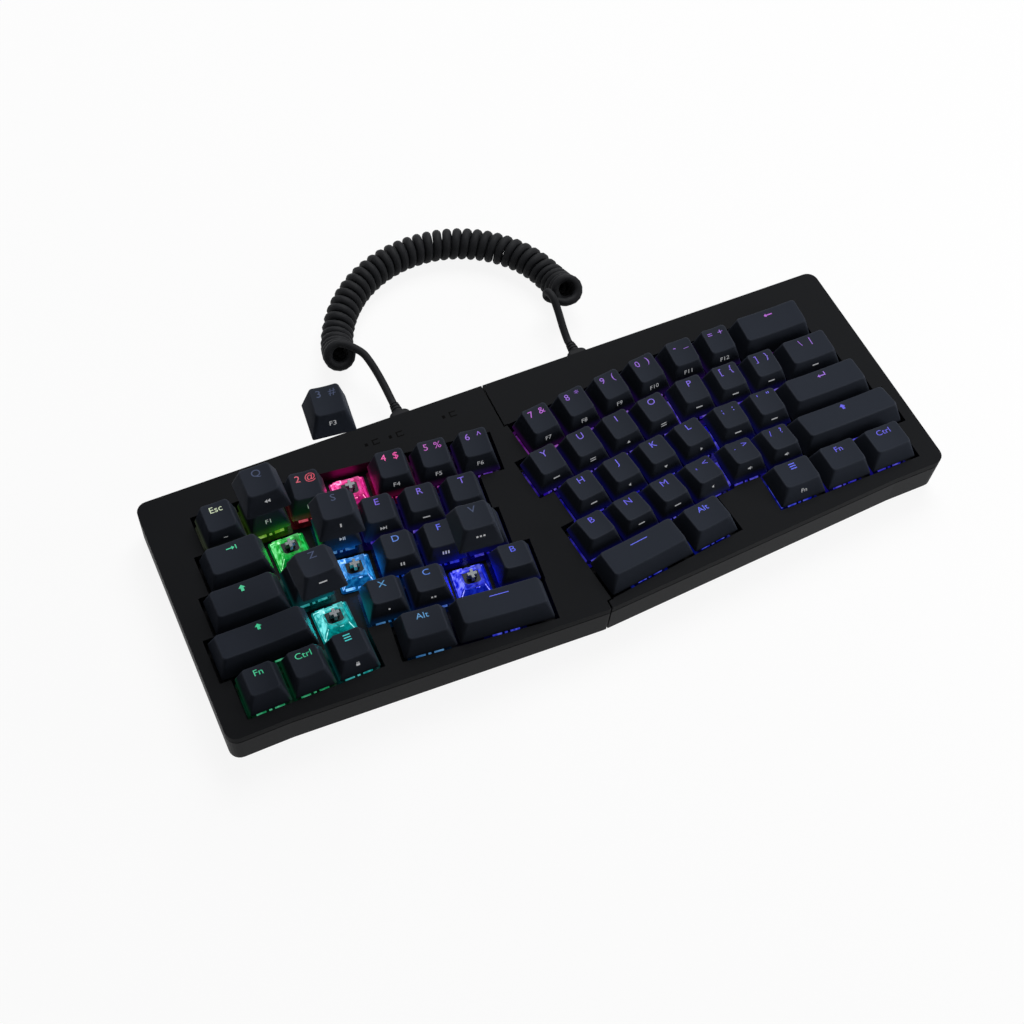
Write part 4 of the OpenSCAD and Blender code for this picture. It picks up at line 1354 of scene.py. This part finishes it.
class Studio:
    """Camera at the photograph's angle, a pale floor and soft light."""

    camera_mm: Point = (-197.08, -293.40, 581.49)
    forward: Point = (0.26654, 0.44288, -0.85605)
    right: Point = (0.90317, -0.42488, 0.06139)
    lens_mm: float = 53.12
    sensor_mm: float = 36.0
    world_strength: float = 0.055
    floor_grey: float = 0.9
    floor_white_share: float = 0.9
    floor_reach: float = 6.0
    floor_level: float = -0.0005
    # Name, place, side and power of the lamps, which look at the keyboard, in metres and watts.
    lamps: tuple[tuple[str, Point, float, float], ...] = (("soft_key_lamp", (0.6, 0.85, 1.5), 1.2, 31.0),
                                                          ("soft_front_lamp", (0.55, -0.3, 0.13), 0.35, 2.0))

    def build_camera(self) -> None:
        """Makes the camera and gives it to the scene."""
        data = bpy.data.cameras.new("photo_camera")
        data.lens = self.lens_mm
        data.sensor_width = self.sensor_mm
        data.clip_start, data.clip_end = 0.01, 50.0
        camera = add_object("photo_camera", data)
        back = -Vector(self.forward).normalized()
        right = Vector(self.right)
        right = (right - back * right.dot(back)).normalized()
        turn = Matrix((right, back.cross(right), back)).transposed().to_4x4()
        camera.matrix_world = Matrix.Translation(Vector(self.camera_mm) * MM) @ turn
        bpy.context.scene.camera = camera

    def build_light(self) -> None:
        """Makes the world, the floor and the lamps."""
        scene = bpy.context.scene
        scene.view_settings.view_transform = "Standard"
        world = bpy.data.worlds.new("studio_world")
        scene.world = world
        world.use_nodes = True
        tree = world.node_tree
        level = remap(tree, self.background_rays(tree), (self.world_strength, 1.0))
        set_inputs(tree, tree.nodes["Background"], {"Strength": level, "Color": WHITE})
        self.build_floor()
        for name, place, size, power in self.lamps:
            look = (-Vector(place)).to_track_quat("-Z", "Y").to_matrix().to_4x4()
            add_lamp(name, Matrix.Translation(place) @ look, (size, size), power)

    @staticmethod
    def background_rays(tree: Tree) -> Socket:
        """Adds a value of 1 for rays from the camera, from gloss and through clear parts, and 0 for all others."""
        ray = add_node(tree, "ShaderNodeLightPath")
        seen = ray.outputs["Is Camera Ray"]
        for kind in ("Is Glossy Ray", "Is Transmission Ray"):
            seen = add_node(tree, "ShaderNodeMath", {0: seen, 1: ray.outputs[kind]},
                            operation="MAXIMUM").outputs["Value"]
        return seen

    def build_floor(self) -> None:
        """Makes the pale floor, which keeps the object's shadow."""
        material = bpy.data.materials.new("white_paper_sweep")
        material.use_nodes = True
        tree = material.node_tree
        shader = tree.nodes["Principled BSDF"]
        grey = self.floor_grey
        set_inputs(tree, shader, {"Base Color": (grey, grey, grey, 1.0), "Roughness": 0.9, "Specular IOR Level": 0.0})
        glow = add_node(tree, "ShaderNodeEmission", {"Color": WHITE, "Strength": 1.0})
        share = add_node(tree, "ShaderNodeMath", {0: self.background_rays(tree), 1: self.floor_white_share},
                         operation="MULTIPLY")
        blend = add_node(tree, "ShaderNodeMixShader", {0: share.outputs["Value"], 1: shader.outputs["BSDF"],
                                                       2: glow.outputs["Emission"]})
        set_inputs(tree, tree.nodes["Material Output"], {"Surface": blend.outputs["Shader"]})
        mesh = bpy.data.meshes.new("paper_floor")
        reach = self.floor_reach
        mesh.from_pydata([(-reach, -reach, 0), (reach, -reach, 0), (reach, reach, 0), (-reach, reach, 0)], [],
                         [(0, 1, 2, 3)])
        mesh.materials.append(material)
        floor = add_object("paper_floor", mesh)
        floor.location.z = self.floor_level


class Keyboard:
    """The dressed keyboard: caps, switches, case finishes and cable."""

    lamp_mm: Flat = (10.0, 3.0)
    lamp_place_mm: Point = (0.0, -7.9, 4.0)
    lamp_tilt: float = -115.0
    lamp_power: float = 0.0028
    pink_lamp_power: float = 0.0017

    def __init__(self) -> None:
        """Makes the finishes and the list of keys."""
        self.materials = Materials()
        self.marks = Marks()
        self.keys = make_keys()

    def body_of(self, node: str) -> str:
        """Body that a CAD node belongs to."""
        for body, nodes in frame["record"]["behaviour"]["bodies"].items():
            if node in nodes:
                return body
        raise KeyError(node)

    def build_caps(self) -> None:
        """Makes one piece for each node of caps, with legends and stems."""
        for node in dict.fromkeys(key.node for key in self.keys):
            parts = MeshParts()
            for key in (k for k in self.keys if k.node == node):
                cap = Keycap(key)
                cap.add_to(parts, self.materials)
                cap.add_legends(parts, self.marks, self.materials)
                if not key.is_lifted:
                    SwitchStem(key).add_to(parts, self.materials.stem)
            piece = parts.build("dressed_" + node)
            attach(piece, self.body_of(node))
            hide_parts(node)

    def build_switches(self) -> None:
        """Makes one piece with the clear switches of each half."""
        for side in ("left", "right"):
            parts = MeshParts()
            for key in (k for k in self.keys if k.on_right == (side == "right")):
                SwitchHousing(key).add_to(parts, self.materials)
            piece = parts.build(f"{side}_clear_switches", 25)
            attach(piece, f"{side}_half")
            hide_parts(f"{side}_switch_housings")

    def dress_case(self) -> None:
        """Gives the CAD nodes that stay their finishes and soft edges."""
        finishes = {
            "top_cover": (self.materials.case, 0.5),
            "bottom_case": (self.materials.tray, 0.6),
            "switch_plate": (self.materials.plate, 0.0),
            "circuit_board": (self.materials.board, 0.0),
            "feet": (self.materials.rubber, 0.3),
            "screws": (self.materials.steel, 0.1),
            "socket": (self.materials.steel, 0.1),
            "battery": (self.materials.pouch, 0.6),
            "stem": (self.materials.open_stem, 0.12),
        }
        replaced = {key.node for key in self.keys} | {"cable_coil"}
        replaced |= {f"{side}_{part}" for side in ("left", "right") for part in ("lead", "plug", "switch_housings")}
        for name, node in frame["nodes"].items():
            if name in replaced:
                continue
            material, width = next(finish for part, finish in finishes.items() if part in name)
            node.data.materials.clear()
            node.data.materials.append(material)
            if width:
                self.soften(node, width)
            LOG.info("finish %s", name)

    @staticmethod
    def soften(node: bpy.types.Object, width_mm: float) -> None:
        """Rounds a node's edges by modifiers, which leave its own mesh as it is."""
        merge = node.modifiers.new("whole_faces", "DECIMATE")
        merge.decimate_type = "DISSOLVE"
        merge.angle_limit = math.radians(1.0)
        bevel = node.modifiers.new("moulded_edges", "BEVEL")
        bevel.width = width_mm * MM
        bevel.segments = 2
        bevel.limit_method = "ANGLE"
        bevel.angle_limit = math.radians(40)
        bevel.use_clamp_overlap = True
        bevel.harden_normals = True

    def build_marks(self) -> None:
        """Makes the small sunk marks of the lamps on the left back edge, as plain near-black bars and dots of painted
        shade at the surface.
        """
        parts = MeshParts()
        for x, y in ((-64.6, 53.0), (-53.2, 52.8), (-27.1, 53.5)):
            place = Matrix.Translation((x, y, FIELD.bezel_top))
            for low, high in (((-3.4, -0.8), (-2.0, 0.8)), ((0.2, 0.9), (3.4, 1.45)), ((0.2, -1.45), (3.4, -0.9)),
                              ((0.2, -0.9), (0.75, 0.9))):
                parts.add_box((*low, -0.2), (*high, 0.02), place, self.materials.sunk_mark_painted_shade)
        piece = parts.build("left_lamp_marks")
        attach(piece, "left_half")

    def build_open_lights(self) -> None:
        """Makes the lights that leave the open switches and colour their neighbours."""
        tilt = Matrix.Rotation(math.radians(self.lamp_tilt), 4, "X")
        wide, high = (side * MM for side in self.lamp_mm)
        for key in (k for k in self.keys if k.is_lifted):
            power = self.pink_lamp_power if key.led is Led.PINK else self.lamp_power
            for turn in range(4):
                quarter = Matrix.Rotation(turn * math.pi / 2, 4, "Z")
                place = key.matrix() @ quarter @ Matrix.Translation(self.lamp_place_mm) @ tilt
                place.translation *= MM
                add_lamp(f"open_switch_light_{key.top[0]}_{turn}", place, (wide, high), power, key.led.deep)

    def build_cable(self) -> None:
        """Makes the curly cord and its plugs."""
        cable = CurlyCable()
        cable.build(self.materials)
        for side, plug_x in (("left", cable.left_plug_x), ("right", cable.right_plug_x)):
            CablePlug(side, cable.shift.x + plug_x).build(self.materials)


def main() -> None:
    """Builds the scene in order."""
    logging.basicConfig(level=logging.INFO)
    studio = Studio()
    studio.build_camera()
    keyboard = Keyboard()
    keyboard.build_cable()
    keyboard.build_caps()
    keyboard.build_switches()
    keyboard.dress_case()
    keyboard.build_marks()
    keyboard.build_open_lights()
    studio.build_light()


if __name__ == "__main__":
    main()
